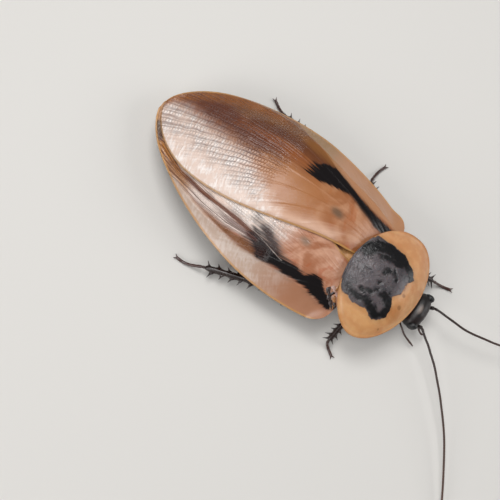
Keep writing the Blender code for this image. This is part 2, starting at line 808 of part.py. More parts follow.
def tibia(name, leg):
    start, end = shortened(
        Vector(leg["knee"]), Vector(leg["ankle"]), leg["tibia_cut"], 0.5 * GAP)
    line = [start.lerp(end, s) for s in (0.0, 0.05, 0.2, 0.45, 0.7, 0.9, 0.975, 1.0)]
    shape = (0.45, 0.85, 0.95, 1.0, 1.02, 1.0, 0.85, 0.45)
    radii = [TIBIA_RADIUS * leg["thick"] * s for s in shape]
    return tube(name, line, radii)


def spiny_tibia(name, leg):
    obj = tibia(name, leg)
    chance = random.Random(name)
    start, end = Vector(leg["knee"]), Vector(leg["ankle"])
    along = (end - start).normalized()
    side = along.cross(Vector((0, 0, 1))).normalized()
    rise = side.cross(along).normalized()
    spines = []
    count = leg["spines"]
    for k in range(count):
        share = 0.24 + 0.66 * (k // 2) / (count / 2 - 1)
        hand = 1 if k % 2 else -1
        share += 0.03 * hand + chance.uniform(-0.01, 0.01)
        lean = chance.uniform(0.45, 0.7)
        lift = chance.uniform(-0.25, 0.2)
        way = (side * hand + along * lean + rise * lift).normalized()
        root = start.lerp(end, share) + side * hand * 0.15
        length = blend(*SPINE_LENGTHS, chance.random()) * leg["thick"]
        spines.append(spine(root, way, length + 0.4))
    return union(obj, spines)


def tarsus(name, leg):
    """Five short foot segments, flattened where they meet the floor."""
    ankle = Vector(leg["ankle"])
    foot = [Vector(p) for p in leg["foot"]]
    start = ankle + (foot[0] - ankle).normalized() * ANKLE_GAP
    line = evenly(spline_points([start] + foot, 8), 13)
    swell = (0.6, 1.05, 1.0, 0.8, 1.0, 0.8, 1.0, 0.85, 1.0, 0.9, 1.0, 1.0, 0.6)
    obj = flattened(tube(name, line, [TARSUS_RADIUS * s for s in swell]))
    heading = (foot[-1] - foot[-2]).normalized()
    across = heading.cross(Vector((0, 0, 1))).normalized()
    claws = []
    for hand in (-1, 1):
        way = (heading + across * hand * CLAW_SPREAD + Vector((0, 0, CLAW_RISE))).normalized()
        root = foot[-1] + across * hand * 0.1 - heading * 0.25 + Vector((0, 0, 0.08))
        claws.append(spine(root, way, CLAW_LENGTH, CLAW_RADIUS))
    return union(obj, claws)


def flattened(obj):
    """Lift everything that dips under the floor to the floor."""
    for vert in obj.data.vertices:
        if vert.co.z < SOLE_DEPTH * MM:
            vert.co.z = FLOOR
    return obj


# Assembly.
def dressed(obj, mat):
    obj.data.materials.clear()
    obj.data.materials.append(mat)
    return obj


def build():
    horn = material("amber_shell", (0.55, 0.30, 0.13), 0.3)
    wing = material("wing_membrane", (0.50, 0.30, 0.16), 0.35)
    folded = material("folded_hind_wing", (0.30, 0.22, 0.17), 0.5)
    dark = material("dark_cuticle", (0.03, 0.015, 0.01), 0.25)
    belly = material("belly_plates", (0.12, 0.05, 0.03), 0.35)
    black = material("eye_black", (0.01, 0.01, 0.012), 0.15)
    feeler = material("feeler_brown", (0.09, 0.035, 0.02), 0.4)
    foot = material("foot_red_brown", (0.12, 0.04, 0.025), 0.35)

    dressed(pronotum(), horn)
    dressed(tegmen("tegmen_left", LEFT_WING, no_drop), wing)
    dressed(tegmen("tegmen_right", RIGHT_WING, right_drop), wing)
    dressed(hind_wing("hind_wing_left", 1), folded)
    dressed(hind_wing("hind_wing_right", -1), folded)
    dressed(with_cavities(prothorax(), ("front_left", "front_right")), belly)
    rear_legs = ("middle_left", "middle_right", "hind_left", "hind_right")
    dressed(with_cavities(thorax(), rear_legs), belly)
    dressed(abdomen(), belly)

    skull = head()
    for side, word in ((1, "left"), (-1, "right")):
        socket = eye("socket_" + word, side, GAP)
        boolean(skull, "DIFFERENCE", other=socket)
        bpy.data.objects.remove(socket, do_unlink=True)
        dressed(eye("eye_" + word, side, 0.0), black)
    dressed(largest_shell(skull), dark)

    dressed(antenna("antenna_left", 1, ANTENNA_LEFT), feeler)
    dressed(antenna("antenna_right", -1, ANTENNA_RIGHT), feeler)
    for name, points in PALPS.items():
        dressed(palp(name, points), feeler)
    dressed(cercus("cercus_left", 1), dark)
    dressed(cercus("cercus_right", -1), dark)

    for word, leg in LEGS.items():
        dressed(coxa("coxa_" + word, leg), dark)
        dressed(femur("femur_" + word, leg), dark)
        dressed(spiny_tibia("tibia_" + word, leg), dark)
        dressed(tarsus("tarsus_" + word, leg), foot)


def settle():
    """Shift the whole model so that the origin is the bottom centre of its box."""
    bpy.context.view_layer.update()
    graph = bpy.context.evaluated_depsgraph_get()
    low = Vector((1e9, 1e9, 1e9))
    high = -low
    for obj in PARTS.objects:
        mesh = obj.evaluated_get(graph).to_mesh()
        for vert in mesh.vertices:
            for axis in range(3):
                low[axis] = min(low[axis], vert.co[axis])
                high[axis] = max(high[axis], vert.co[axis])
    shift = Vector(((low.x + high.x) / 2, (low.y + high.y) / 2, low.z))
    for obj in PARTS.objects:
        obj.data.transform(Matrix.Translation(-shift))
    holder = bpy.data.objects.new("giant_cockroach_root", None)
    bpy.context.scene.collection.objects.link(holder)
    for obj in PARTS.objects:
        obj.parent = holder
    print("shift_mm", [round(v / MM, 3) for v in shift])
    print("size_mm", [round((h - l) / MM, 2) for h, l in zip(high, low)])


clear_scene()
PARTS = new_collection(BODY_COLLECTION)
build()
settle()
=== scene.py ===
# %% [markdown]
# # A giant cockroach, life size
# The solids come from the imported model, which is the fixed frame. Everything below dresses them:
# finer wings, shield, head and feelers, polished cuticle, and a plain studio round it.
# Sizes are written in millimetres in the animal's own frame: tail along +Y, left side along +X,
# floor at zero. One helper turns them into the frame's metres.

# %% Load the frame
import json
import math
import random
from functools import partial

import bpy
import numpy as np
from mathutils import Matrix, Vector


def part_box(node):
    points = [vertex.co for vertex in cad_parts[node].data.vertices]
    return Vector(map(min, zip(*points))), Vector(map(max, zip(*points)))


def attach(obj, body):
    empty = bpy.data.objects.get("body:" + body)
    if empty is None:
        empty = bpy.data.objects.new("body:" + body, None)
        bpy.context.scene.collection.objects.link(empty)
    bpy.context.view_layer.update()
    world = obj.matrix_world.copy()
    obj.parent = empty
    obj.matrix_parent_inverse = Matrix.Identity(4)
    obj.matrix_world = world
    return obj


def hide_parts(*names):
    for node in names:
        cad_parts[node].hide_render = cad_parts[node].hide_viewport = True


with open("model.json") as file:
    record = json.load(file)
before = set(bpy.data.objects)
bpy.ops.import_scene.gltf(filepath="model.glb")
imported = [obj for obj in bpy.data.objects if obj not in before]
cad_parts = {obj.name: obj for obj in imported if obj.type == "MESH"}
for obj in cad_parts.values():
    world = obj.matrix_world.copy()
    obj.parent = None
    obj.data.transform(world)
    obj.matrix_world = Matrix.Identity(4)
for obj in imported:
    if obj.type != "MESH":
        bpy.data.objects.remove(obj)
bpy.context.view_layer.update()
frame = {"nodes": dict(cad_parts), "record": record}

# %% [markdown]
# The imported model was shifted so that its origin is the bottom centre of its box. The trunk shows
# by how much: it is even on both sides, and its front face stands 0.4 mm ahead of the wing bases.

# %% The animal's own frame
MM = 0.001
THORAX_FRONT_Y = -0.4
low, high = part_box("thorax")
ORIGIN = Vector(((low.x + high.x) / 2, low.y - THORAX_FRONT_Y * MM, 0.0))


def place(x, y, z):
    """A point of the animal's frame in millimetres, as a point of the row frame in metres."""
    return ORIGIN + Vector((x, y, z)) * MM


print("origin of the animal's frame in mm", [round(v / MM, 3) for v in ORIGIN])

# %% [markdown]
# The photograph looks down on the animal from 15 degrees to its right, and is turned so that the
# head points to the lower right corner. These values came from fitting the outlines of the wings
# and of the shield.

# %% Camera
LEAN_RIGHT = math.radians(15.0)
TURN = math.radians(39.75)
CAMERA_DISTANCE = 210.0
PIXELS_PER_MM = 4.151
FRAME_PIXELS = 500
SENSOR = 36.0
AIM = (-15.0, 24.99, 8.8)


def set_camera():
    back = Vector((-math.tan(LEAN_RIGHT), 0.0, 1.0)).normalized()
    up = Vector((math.cos(TURN), math.sin(TURN), 0.0))
    up = (up - back * up.dot(back)).normalized()
    right = up.cross(back)
    data = bpy.data.cameras.new("camera")
    data.sensor_width = SENSOR
    data.lens = PIXELS_PER_MM * CAMERA_DISTANCE * SENSOR / FRAME_PIXELS
    data.clip_start, data.clip_end = 0.005, 5.0
    camera = bpy.data.objects.new("camera", data)
    bpy.context.scene.collection.objects.link(camera)
    rotation = Matrix((right, up, back)).transposed().to_4x4()
    camera.matrix_world = Matrix.Translation(place(*AIM) + back * CAMERA_DISTANCE * MM) @ rotation
    bpy.context.scene.camera = camera
    return camera


camera = set_camera()
print("lens in mm", round(camera.data.lens, 1))

# %% [markdown]
# Colours are picked as the hex values that a paint program shows. A shader works with linear
# light, so one function turns them round. A second small function adds a node with its settings
# and its links. Most patches of colour below are glazes: paint laid over what is there, inside a
# border that noise frays.

# %% Colour and node helpers
SMOOTH = {"interpolation_type": "SMOOTHSTEP"}


def linear(hex_colour):
    """An sRGB hex colour as linear light, with alpha 1."""
    values = [int(hex_colour[i:i + 2], 16) / 255 for i in (1, 3, 5)]
    return (*(v / 12.92 if v <= 0.04045 else ((v + 0.055) / 1.055) ** 2.4 for v in values), 1.0)


def add(tree, kind, *values, out=None, **named):
    """Add a node. Values or sockets feed its inputs in order, or by name where a name has a
    capital; the other names are its settings. The answer is the output called out, or the first
    output that is in use.
    """
    made = tree.nodes.new("ShaderNode" + kind)
    inputs = dict(enumerate(values))
    for key, value in named.items():
        if key[0].isupper():
            inputs[key.replace("_", " ")] = value
        else:
            setattr(made, key, value)
    for key, value in inputs.items():
        same_name = [s for s in made.inputs if s.enabled and s.name == key]
        socket = same_name[0] if same_name else made.inputs[key]
        if isinstance(value, bpy.types.NodeSocket):
            tree.links.new(value, socket)
        else:
            socket.default_value = value
    return made.outputs[out] if out else [s for s in made.outputs if s.enabled][0]


def finish(name, **values):
    """A new material with constant values on its shader, a way to add nodes to it, the shader."""
    material = bpy.data.materials.new(name)
    material.use_nodes = True
    shader = material.node_tree.nodes["Principled BSDF"]
    for key, value in values.items():
        shader.inputs[key.replace("_", " ")].default_value = value
    return material, partial(add, material.node_tree), shader


def feed(shader, **sockets):
    """Let the given sockets feed the shader's inputs of the same names."""
    for key, socket in sockets.items():
        shader.id_data.links.new(socket, shader.inputs[key.replace("_", " ")])


def summed(node, base, *parts):
    """A base plus some fields or noises, each times its own amount."""
    for part, amount in parts:
        base = node("Math", part, amount, base, operation="MULTIPLY_ADD")
    return base


def glaze(node, colour, field, frays, soft, paint, most):
    """Lay paint over a colour inside a field whose border is frayed by noise; also its cover."""
    field = summed(node, field, *frays)
    cover = node("MapRange", Value=field, From_Min=-soft, From_Max=soft, To_Max=most, **SMOOTH)
    return node("Mix", Factor=cover, A=colour, B=linear(paint), data_type="RGBA"), cover


print("amber in linear light", [round(v, 3) for v in linear("#c38d64")])

# %% [markdown]
# Most pieces below are meshes worked out from formulas, point by point. These few functions turn
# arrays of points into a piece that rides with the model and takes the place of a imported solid.

# %% Mesh helpers


def store(made, fields):
    """Store numbers for each point of a piece, for its material to read; the answer is names."""
    for name, values in fields.items():
        layer = made.data.attributes.new(name, "FLOAT", "POINT")
        layer.data.foreach_set("value", np.asarray(values, np.float32).ravel())
    return list(fields)


def piece(name, points, faces, replaces=None, thickness=None):
    """A smooth-shaded piece from points in millimetres; a thickness makes it a sheet."""
    mesh = bpy.data.meshes.new(name)
    flat = np.asarray(points, float).reshape(-1, 3) * MM + np.array(ORIGIN)
    mesh.from_pydata(flat.tolist(), [], [tuple(int(v) for v in face) for face in faces])
    mesh.shade_smooth()
    made = bpy.data.objects.new(name, mesh)
    bpy.context.scene.collection.objects.link(made)
    if thickness:
        if mesh.polygons[len(mesh.polygons) // 2].normal.z < 0:
            mesh.flip_normals()
        sheet = made.modifiers.new("sheet", "SOLIDIFY")
        sheet.thickness = thickness * MM
        sheet.offset = -1.0
    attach(made, "root")
    if replaces:
        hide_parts(replaces)
    return made


def grid_faces(rows, columns, closed=False):
    """Quads of a grid of points; a closed grid joins its last column to its first."""
    last = columns if closed else columns - 1
    r, c = np.meshgrid(np.arange(rows - 1), np.arange(last), indexing="ij")
    a = (r * columns + c).ravel()
    b = (r * columns + (c + 1) % columns).ravel()
    return np.stack([a, b, b + columns, a + columns], 1)


def curve_through(points, steps):
    """Points along a smooth curve through the given points."""
    p = np.array(points, float)
    p = np.concatenate([[2 * p[0] - p[1]], p, [2 * p[-1] - p[-2]]])
    out = []
    for k in range(1, len(p) - 2):
        p0, p1, p2, p3 = p[k - 1:k + 3]
        for t in np.arange(steps) / steps:
            c = 2 * p0 - 5 * p1 + 4 * p2 - p3
            d = -p0 + 3 * p1 - 3 * p2 + p3
            out.append(0.5 * (2 * p1 + (p2 - p0) * t + c * t * t + d * t ** 3))
    return np.array(out + [p[-2]])


def evenly(line, count):
    """The same curve with its points evenly spaced, and its length."""
    gone = np.concatenate([[0.0], np.cumsum(np.linalg.norm(np.diff(line, axis=0), axis=1))])
    want = np.linspace(0.0, gone[-1], count)
    return np.stack([np.interp(want, gone, line[:, k]) for k in range(3)], 1), gone[-1]


def limb(line, radii, around=14):
    """Points and faces of a round limb along a line, closed at both ends."""
    way = np.gradient(line, axis=0)
    way /= np.linalg.norm(way, axis=1)[:, None]
    side = np.cross(way, [0.0, 0.0, 1.0])
    side /= np.linalg.norm(side, axis=1)[:, None]
    rise = np.cross(side, way)
    turn = 2 * np.pi * np.arange(around) / around
    ring = side[:, None] * np.cos(turn)[None, :, None] + rise[:, None] * np.sin(turn)[None, :, None]
    points = line[:, None] + ring * np.asarray(radii)[:, None, None]
    faces = [tuple(f) for f in grid_faces(len(line), around, closed=True)]
    faces.append(tuple(range(around))[::-1])
    faces.append(tuple(range((len(line) - 1) * around, len(line) * around)))
    return points.reshape(-1, 3), faces


print("mesh helpers ready")

# %% [markdown]
# The folded fore wings lie on one arched roof: a low dome with a sloping brim along each side.
# The same formulas shaped the solids, so a finer mesh from them follows the solids exactly. They
# are written for whole arrays of points, because a fine wing has tens of thousands.

# %% Shape of the wings
GAP = 0.3
WIDEST_Y = 24.3
WING_HALF_WIDTH = 20.6
BASE_HALF_WIDTH = 16.8
BASE_CURVE = 2.3
ROOF_TIP_Y = 66.4
TIP_POWERS = (1.61, 1.84)
CORNER_LENGTH = 3.4
CORNER_WIDTH = 2.6
HINGE_INNER = (3.2, 2.6)
WINGS = {
    "left": {
        "side": 1, "tip_y": 64.8, "base_y": -1.2, "hinge_outer": (11.0, -1.4),
        "suture": {"depth": 10.9, "deepest_y": 46.5, "start_y": 5.0, "offset": 0.6, "gone_y": 8.0},
    },
    "right": {
        "side": -1, "tip_y": 65.2, "base_y": 0.5, "hinge_outer": (11.0, 0.3),
        "suture": {"depth": 9.2, "deepest_y": 45.5, "start_y": 9.5, "offset": 1.7, "gone_y": 18.0},
    },
}
VEIN_BOW = [
    (0.0, 1.0), (0.2, 3.2), (0.45, 5.2), (0.56, 6.0), (0.66, 4.0), (0.8, 1.0), (1.0, -0.3),
]
MEMBRANE = 0.5
VEIN_HEIGHT = 0.22
OVERLAP_DROP = MEMBRANE + GAP + VEIN_HEIGHT
SHOULDER_Z = 11.2
SHOULDER_BASE_DIP = 0.9
SHOULDER_FALL = 4.0
BRIM_Z = 6.4
BRIM_RISE = 1.3
BRIM_BASE_RISE = 2.2
DOME_RISE = 3.4
DOME_POWER = 2.2


def ease(value):
    value = np.clip(value, 0.0, 1.0)
    return value * value * (3.0 - 2.0 * value)


def stations(value, table):
    """Read values off a short table of stations, with straight lines between them."""
    return np.interp(value, [row[0] for row in table], [row[1] for row in table])


def margin_half(y, tip_y):
    near = np.clip((WIDEST_Y - y) / WIDEST_Y, 0.0, 2.0)
    base = WING_HALF_WIDTH - (WING_HALF_WIDTH - BASE_HALF_WIDTH) * near ** BASE_CURVE
    far = np.clip((y - WIDEST_Y) / (tip_y - WIDEST_Y), 0.0, 1.0)
    tail = WING_HALF_WIDTH * (1.0 - far ** TIP_POWERS[0]) ** (1.0 / TIP_POWERS[1])
    return np.where(y < WIDEST_Y, base, tail)


def roof(x, y):
    """Upper surface of the folded wings."""
    dip = SHOULDER_BASE_DIP * (1.0 - ease(y / 10.0))
    shoulder_z = SHOULDER_Z - dip - SHOULDER_FALL * np.clip((y - 24.0) / 38.0, 0.0, 1.0) ** 1.5
    brim_z = BRIM_Z + BRIM_RISE * ease((y - 12.0) / 25.0) + BRIM_BASE_RISE * (1.0 - ease(y / 5.0))
    rear = 1.0 - np.clip((y - 30.0) / 33.0, 0.0, 1.0) ** 2.2
    dome = DOME_RISE * ease((y + 6.0) / 24.0) * rear
    edge = np.maximum(0.6, margin_half(y, ROOF_TIP_Y))
    shoulder = edge * (0.74 + 0.19 * ease((y - 15.0) / 35.0))
    side = np.abs(x)
    inner = shoulder_z + dome * (1.0 - np.clip(side / shoulder, 0.0, 1.0) ** DOME_POWER)
    r = (side - shoulder) / (edge - shoulder)
    outer = shoulder_z - (shoulder_z - brim_z) * (1.25 * r - 0.25 * r * r)
    return np.where(side <= shoulder, inner, outer)


def steepness(x, y):
    """Height needed on the slope of the roof for one millimetre measured square to it."""
    step = 0.2
    rise_x = (roof(x + step, y) - roof(x - step, y)) / (2 * step)
    rise_y = (roof(x, y + step) - roof(x, y - step)) / (2 * step)
    return np.minimum(2.2, np.sqrt(1.0 + rise_x ** 2 + rise_y ** 2))


def suture_x(y, wing):
    """Inner margin of a fore wing, seen as a left wing."""
    suture = wing["suture"]
    deepest = suture["deepest_y"]
    along = np.clip((y - suture["start_y"]) / (deepest - suture["start_y"]), 0.0, 1.0)
    front = -suture["depth"] * np.sin(0.5 * np.pi * along) ** 1.5
    r = np.clip((y - deepest) / (wing["tip_y"] - deepest), 0.0, 1.0)
    rear = -suture["depth"] * (1.0 - r ** 2.2) ** (1.0 / 1.5)
    open_part = suture["offset"] * (1.0 - ease((y - 4.0) / (suture["gone_y"] - 4.0)))
    return np.where(y < deepest, front, rear) + open_part


def overlap_drop(word, x, y):
    """How far the right fore wing lies below the roof, to pass under the left one."""
    if word == "left":
        return 0.0 * x
    cover = suture_x(y, WINGS["left"])
    share = ease((x - cover + 3.2) / 2.4) * ease((y - 4.0) / 4.5)
    return OVERLAP_DROP * share * steepness(x, y)


print("roof over the widest place", round(float(roof(0.0, WIDEST_Y)), 2), "mm")

# %% [markdown]
# A wing's veins leave its hinge and fan out to its margins, so the mesh is a fan as well: curved
# rays from the hinge to points spaced evenly round the outline. Each point then knows which ray it
# is on and how far along, which is all that the vein pattern needs.

# %% Fan of rays
RAYS = 281
ROWS = 150
OUTLINE_STEPS = 240
SEAM_START_Y = 3.4


def wing_fan(wing):
    """Plan points of the fan, as arrays of rays by rows."""
    tip_y, base_y = wing["tip_y"], wing["base_y"]
    turn = 0.5 * np.pi * np.arange(OUTLINE_STEPS) / OUTLINE_STEPS
    inner_y = SEAM_START_Y + (tip_y - SEAM_START_Y) * np.sin(turn)
    inner = np.stack([suture_x(inner_y, wing), inner_y], 1)
    turn = 0.5 * np.pi * np.arange(OUTLINE_STEPS + 1) / OUTLINE_STEPS
    outer_y = base_y + (tip_y - base_y) * np.cos(turn)
    r = np.clip(1.0 - (outer_y - base_y) / CORNER_LENGTH, 0.0, 1.0)
    corner = CORNER_WIDTH * (1.0 - np.sqrt(1.0 - r * r))
    outer = np.stack([margin_half(outer_y, tip_y) - corner, outer_y], 1)
    line = np.concatenate([inner, outer])
    gone = np.concatenate([[0.0], np.cumsum(np.hypot(*np.diff(line, axis=0).T))])
    want = np.linspace(0.0, gone[-1], RAYS)
    ends = np.stack([np.interp(want, gone, line[:, 0]), np.interp(want, gone, line[:, 1])], 1)
    share = np.linspace(0.0, 1.0, RAYS)[:, None]
    root = np.array(HINGE_INNER) * (1 - share) + np.array(wing["hinge_outer"]) * share
    span = ends - root
    reach = np.clip((np.hypot(*span.T) - 4.0) / 20.0, 0.0, 1.0)
    middle = root + np.stack(
        [0.15 * span[:, 0] + stations(share[:, 0], VEIN_BOW) * reach, 0.5 * span[:, 1]], 1)
    v = np.linspace(0.0, 1.0, ROWS)[None, :, None]
    return (1 - v) ** 2 * root[:, None] + 2 * v * (1 - v) * middle[:, None] + v * v * ends[:, None]


print("points in a wing", RAYS * ROWS)

# %% [markdown]
# The markings were measured in millimetres on each wing. Every patch of colour is a field: a
# number at each point of the mesh that says how many millimetres the point lies inside the patch,
# or outside it when negative. The material frays the edge with noise, so no border looks drawn.

# %% Markings of the wings
EDGES = {
    "left": {
        "streak_outer": [(-2.0, 11.8), (9.0, 12.0), (16.8, 13.3), (19.6, 13.9), (22.1, 14.2),
                         (24.6, 13.2), (26.1, 11.6)],
        "streak_inner": [(-2.0, 10.4), (5.5, 9.0), (11.4, 10.1), (15.5, 10.9), (18.8, 9.7),
                         (23.4, 8.2), (26.9, 7.8)],
        "brim": [(-2.0, 4.2), (3.0, 5.2), (9.0, 7.1), (16.8, 7.2), (20.6, 6.4), (27.6, 4.0),
                 (33.0, 2.4), (37.0, 0.2), (40.0, -2.0)],
        "pearl": [(24.0, -7.0), (27.4, -4.9), (32.5, -2.6), (37.8, -0.3), (42.9, 1.3), (49.3, 1.7),
                  (53.4, 1.9), (57.8, 2.6), (61.7, 2.6), (64.5, 0.4)],
        "brown": [(30.0, 9.0), (34.0, 6.5), (38.0, 4.2), (42.0, 2.8), (46.0, 2.4), (54.0, 2.8),
                  (60.0, 3.6), (64.0, 2.6)],
        "crest": [(22.0, 12.6), (29.4, 12.6), (33.7, 12.5), (38.3, 11.9), (46.0, 9.5)],
    },
    "right": {
        "streak_outer": [(0.0, 12.6), (1.8, 14.0), (9.1, 13.9), (13.2, 14.1), (18.3, 14.8),
                         (22.7, 15.9), (24.1, 14.8), (27.0, 13.6)],
        "streak_inner": [(0.0, 12.2), (1.6, 12.6), (5.3, 11.2), (7.5, 9.9), (9.3, 9.9),
                         (11.4, 11.7), (15.0, 12.0), (18.4, 12.6), (22.0, 12.4), (27.0, 12.6)],
        "brim": [(0.0, 2.4), (2.4, 3.0), (5.5, 4.2), (8.7, 5.2), (12.8, 5.4), (17.9, 5.0),
                 (23.8, 4.3), (29.2, 3.5), (35.1, 2.8), (39.3, 2.3), (45.0, 1.8), (50.0, 1.0),
                 (56.0, -1.5)],
        "stripe": [(25.8, 12.5), (30.7, 12.4), (34.9, 12.3), (39.1, 12.2), (43.2, 12.1),
                   (50.8, 11.4), (58.0, 8.8)],
        "ridge": [(12.0, 13.0), (18.4, 12.8), (26.3, 11.9), (31.9, 11.5), (37.9, 11.4),
                  (42.0, 11.1), (50.0, 10.2), (58.0, 6.5)],
        "bundle": [(24.5, 13.8), (29.0, 14.5), (33.5, 15.3), (41.1, 15.2), (50.0, 14.0)],
    },
}
STREAK_END = {"left": 26.6, "right": 27.4}
STRANDS = 3.4


def blob(x, y, middle, half_x, half_y, lean=0.0):
    """Field of an oval patch, in millimetres across its narrow way."""
    dx = x - middle[0] - lean * (y - middle[1])
    dy = y - middle[1]
    return (1.0 - np.hypot(dx / half_x, dy / half_y)) * min(half_x, half_y)


def least(*fields):
    """A point lies inside a patch as far as the nearest of its borders."""
    return np.minimum.reduce([f + 0.0 * fields[0] for f in fields])


def wing_fields(word, x, y, wing):
    """All fields of a wing, seen as a left wing."""
    edge = {name: stations(y, table) for name, table in EDGES[word].items()}
    margin = margin_half(y, wing["tip_y"]) - x
    brim = edge["brim"] - margin
    fields = {
        "brim_rear": least(8.0 * brim, 0.5 * (y - (24.0 if word == "left" else 18.0))),
        "from_margin": margin,
        "from_seam": x - suture_x(y, wing),
        "brim": brim,
        "streak": least(edge["streak_outer"] - x, x - edge["streak_inner"],
                        0.28 * (STREAK_END[word] - y)),
    }
    if word == "left":
        fields["tan"] = least(y - 18.0, 48.0 - y)
        # Seam pale: a painted pinkish highlight along the seam.
        fields["seam_pale"] = least(2.6 - fields["from_seam"], y - 11.0, 30.0 - y)
        fields["pearl"] = least(edge["pearl"] - x, 0.6 * (y - 27.0))
        fields["brown"] = least(x - edge["brown"], 0.5 * (y - 31.0), margin - 1.2)
        fields["olive"] = least(x - edge["crest"], y - 22.0, 0.3 * (50.0 - y), -brim + 0.3)
        # Crest: painted shade on the outer slope of the shoulder crest; crest highlight: a painted
        # pale line along the crest.
        fields["crest"] = least(1.5 - np.abs(x - edge["crest"]), y - 21.0, 46.0 - y)
        fields["fold"] = least(0.2 - np.abs(x - edge["crest"] + 1.7), y - 30.5, 38.0 - y)
        fields["orange"] = least(x - 7.5, edge["crest"] - 0.6 - x, y - 23.0, 47.0 - y)
        fields["gold"] = least(3.3 - margin, 0.5 * (y - 38.0))
        fields["spot"] = blob(x, y, (4.8, 14.7), 1.1, 1.7)
        fields["net"] = least(0.35 * (y - 30.0), -brim, 0.5 * (x + 8.0))
    else:
        fields["silver"] = least(0.5 * (y - 23.0), 0.5 + edge["ridge"] - x)
        fields["strands"] = STRANDS * (x - edge["ridge"]) / (edge["bundle"] - edge["ridge"])
        fields["char"] = least(x - edge["ridge"] + 1.0, edge["streak_outer"] + 0.4 - x, y - 14.0,
                               28.0 - y)
        fields["bundle"] = least(x - edge["ridge"], edge["bundle"] - x, y - 25.0)
        fields["olive"] = least(x - edge["bundle"], y - 23.0, 46.0 - y, -brim + 0.3)
        fields["stripe"] = least(0.55 - np.abs(x - edge["stripe"]), y - 26.0)
        # Ridge: a painted highlight line along the raised main vein.
        fields["ridge"] = least(0.09 - np.abs(x - edge["ridge"]), y - 17.6, 52.0 - y)
        fields["smear"] = blob(x, y, (10.7, 23.2), 1.45, 5.4, -0.27)
        fields["gold"] = least(3.2 - margin, 0.5 * (y - 46.0))
        fields["tip"] = blob(x, y, (6.4, 61.3), 2.6, 2.6)
        fields["spot"] = blob(x, y, (5.8, 16.3), 1.1, 1.6)
        fields["net"] = least(0.35 * (y - 20.0), 0.3 * (56.0 - y), -brim, 0.9)
    return fields


print("borders drawn on each wing", {word: len(edges) for word, edges in EDGES.items()})

# %% [markdown]
# Each fore wing becomes one sheet. Its main veins are soft ridges in its own surface, and the seam
# edge of the left wing bends down onto the right one. Each point keeps its fields, the ray it is
# on, how far it is from the hinge, and how many forks bring the veins there to their spacing.

# %% Wing pieces
VEIN_SPACING = {"left": 1.3, "right": 0.75}
MAIN_VEINS = 10
MAIN_VEIN_OFFSET = 1.0 / 3.0
MAIN_VEIN_FADE_IN, MAIN_VEIN_FADE_OUT = 0.18, 0.14
MAIN_VEIN_WIDTH = 0.35
MAIN_VEIN_RELIEF = 0.06
SHEET = 0.24
SEAM_LIP = 0.55
SEAM_LIP_WIDTH = 0.55


def fore_wing(word):
    wing = WINGS[word]
    fan = wing_fan(wing)
    x, y = fan[..., 0], fan[..., 1]
    world_x = wing["side"] * x
    z = roof(world_x, y) - overlap_drop(word, world_x, y)
    points = np.stack([world_x, y, z], -1)
    share = np.broadcast_to(np.linspace(0.0, 1.0, RAYS)[:, None], x.shape)
    across = np.linalg.norm(np.gradient(points, axis=0), axis=-1) * (RAYS - 1)
    steps = np.linalg.norm(np.diff(points, axis=1), axis=-1)
    run = np.concatenate([np.zeros((RAYS, 1)), np.cumsum(steps, axis=1)], axis=1)
    phase = share * MAIN_VEINS - MAIN_VEIN_OFFSET
    aside = np.abs(phase - np.round(phase)) * across / MAIN_VEINS
    width = np.maximum(0.05, np.minimum(MAIN_VEIN_WIDTH, 0.25 * across / MAIN_VEINS))
    row = np.linspace(0.0, 1.0, ROWS)[None, :]
    fade = ease(row / MAIN_VEIN_FADE_IN) * ease((1.0 - row) / MAIN_VEIN_FADE_OUT)
    points[..., 2] += MAIN_VEIN_RELIEF * np.exp(-(aside / width) ** 2) * fade
    fields = wing_fields(word, x, y, wing)
    if word == "left":
        bend = ease((y - 6.0) / 6.0) * np.exp(-(fields["from_seam"] / SEAM_LIP_WIDTH) ** 2)
        points[..., 2] -= SEAM_LIP * bend
    made = piece("fore_wing_" + word, points, grid_faces(RAYS, ROWS),
                 "tegmen_" + word, SHEET)
    fields["vein_share"], fields["vein_run"] = share, run
    fields["vein_level"] = np.log2(np.maximum(across, 1e-3) / VEIN_SPACING[word])
    return made, store(made, fields)


wings = {word: fore_wing(word) for word in WINGS}
print("faces in a wing", len(wings["left"][0].data.polygons))

# %% [markdown]
# Real wings keep their veins about as far apart everywhere, because a vein forks where the fan
# opens. The pattern does the same by doubling: a coarse set of rays is doubled until the spacing
# is near 1.3 mm on the left wing and 0.75 mm on the right, and two sets are blended by the
# fraction. The real net is finer; this one still shows.

# %% Net of veins
CROSS_SPACING = 0.75


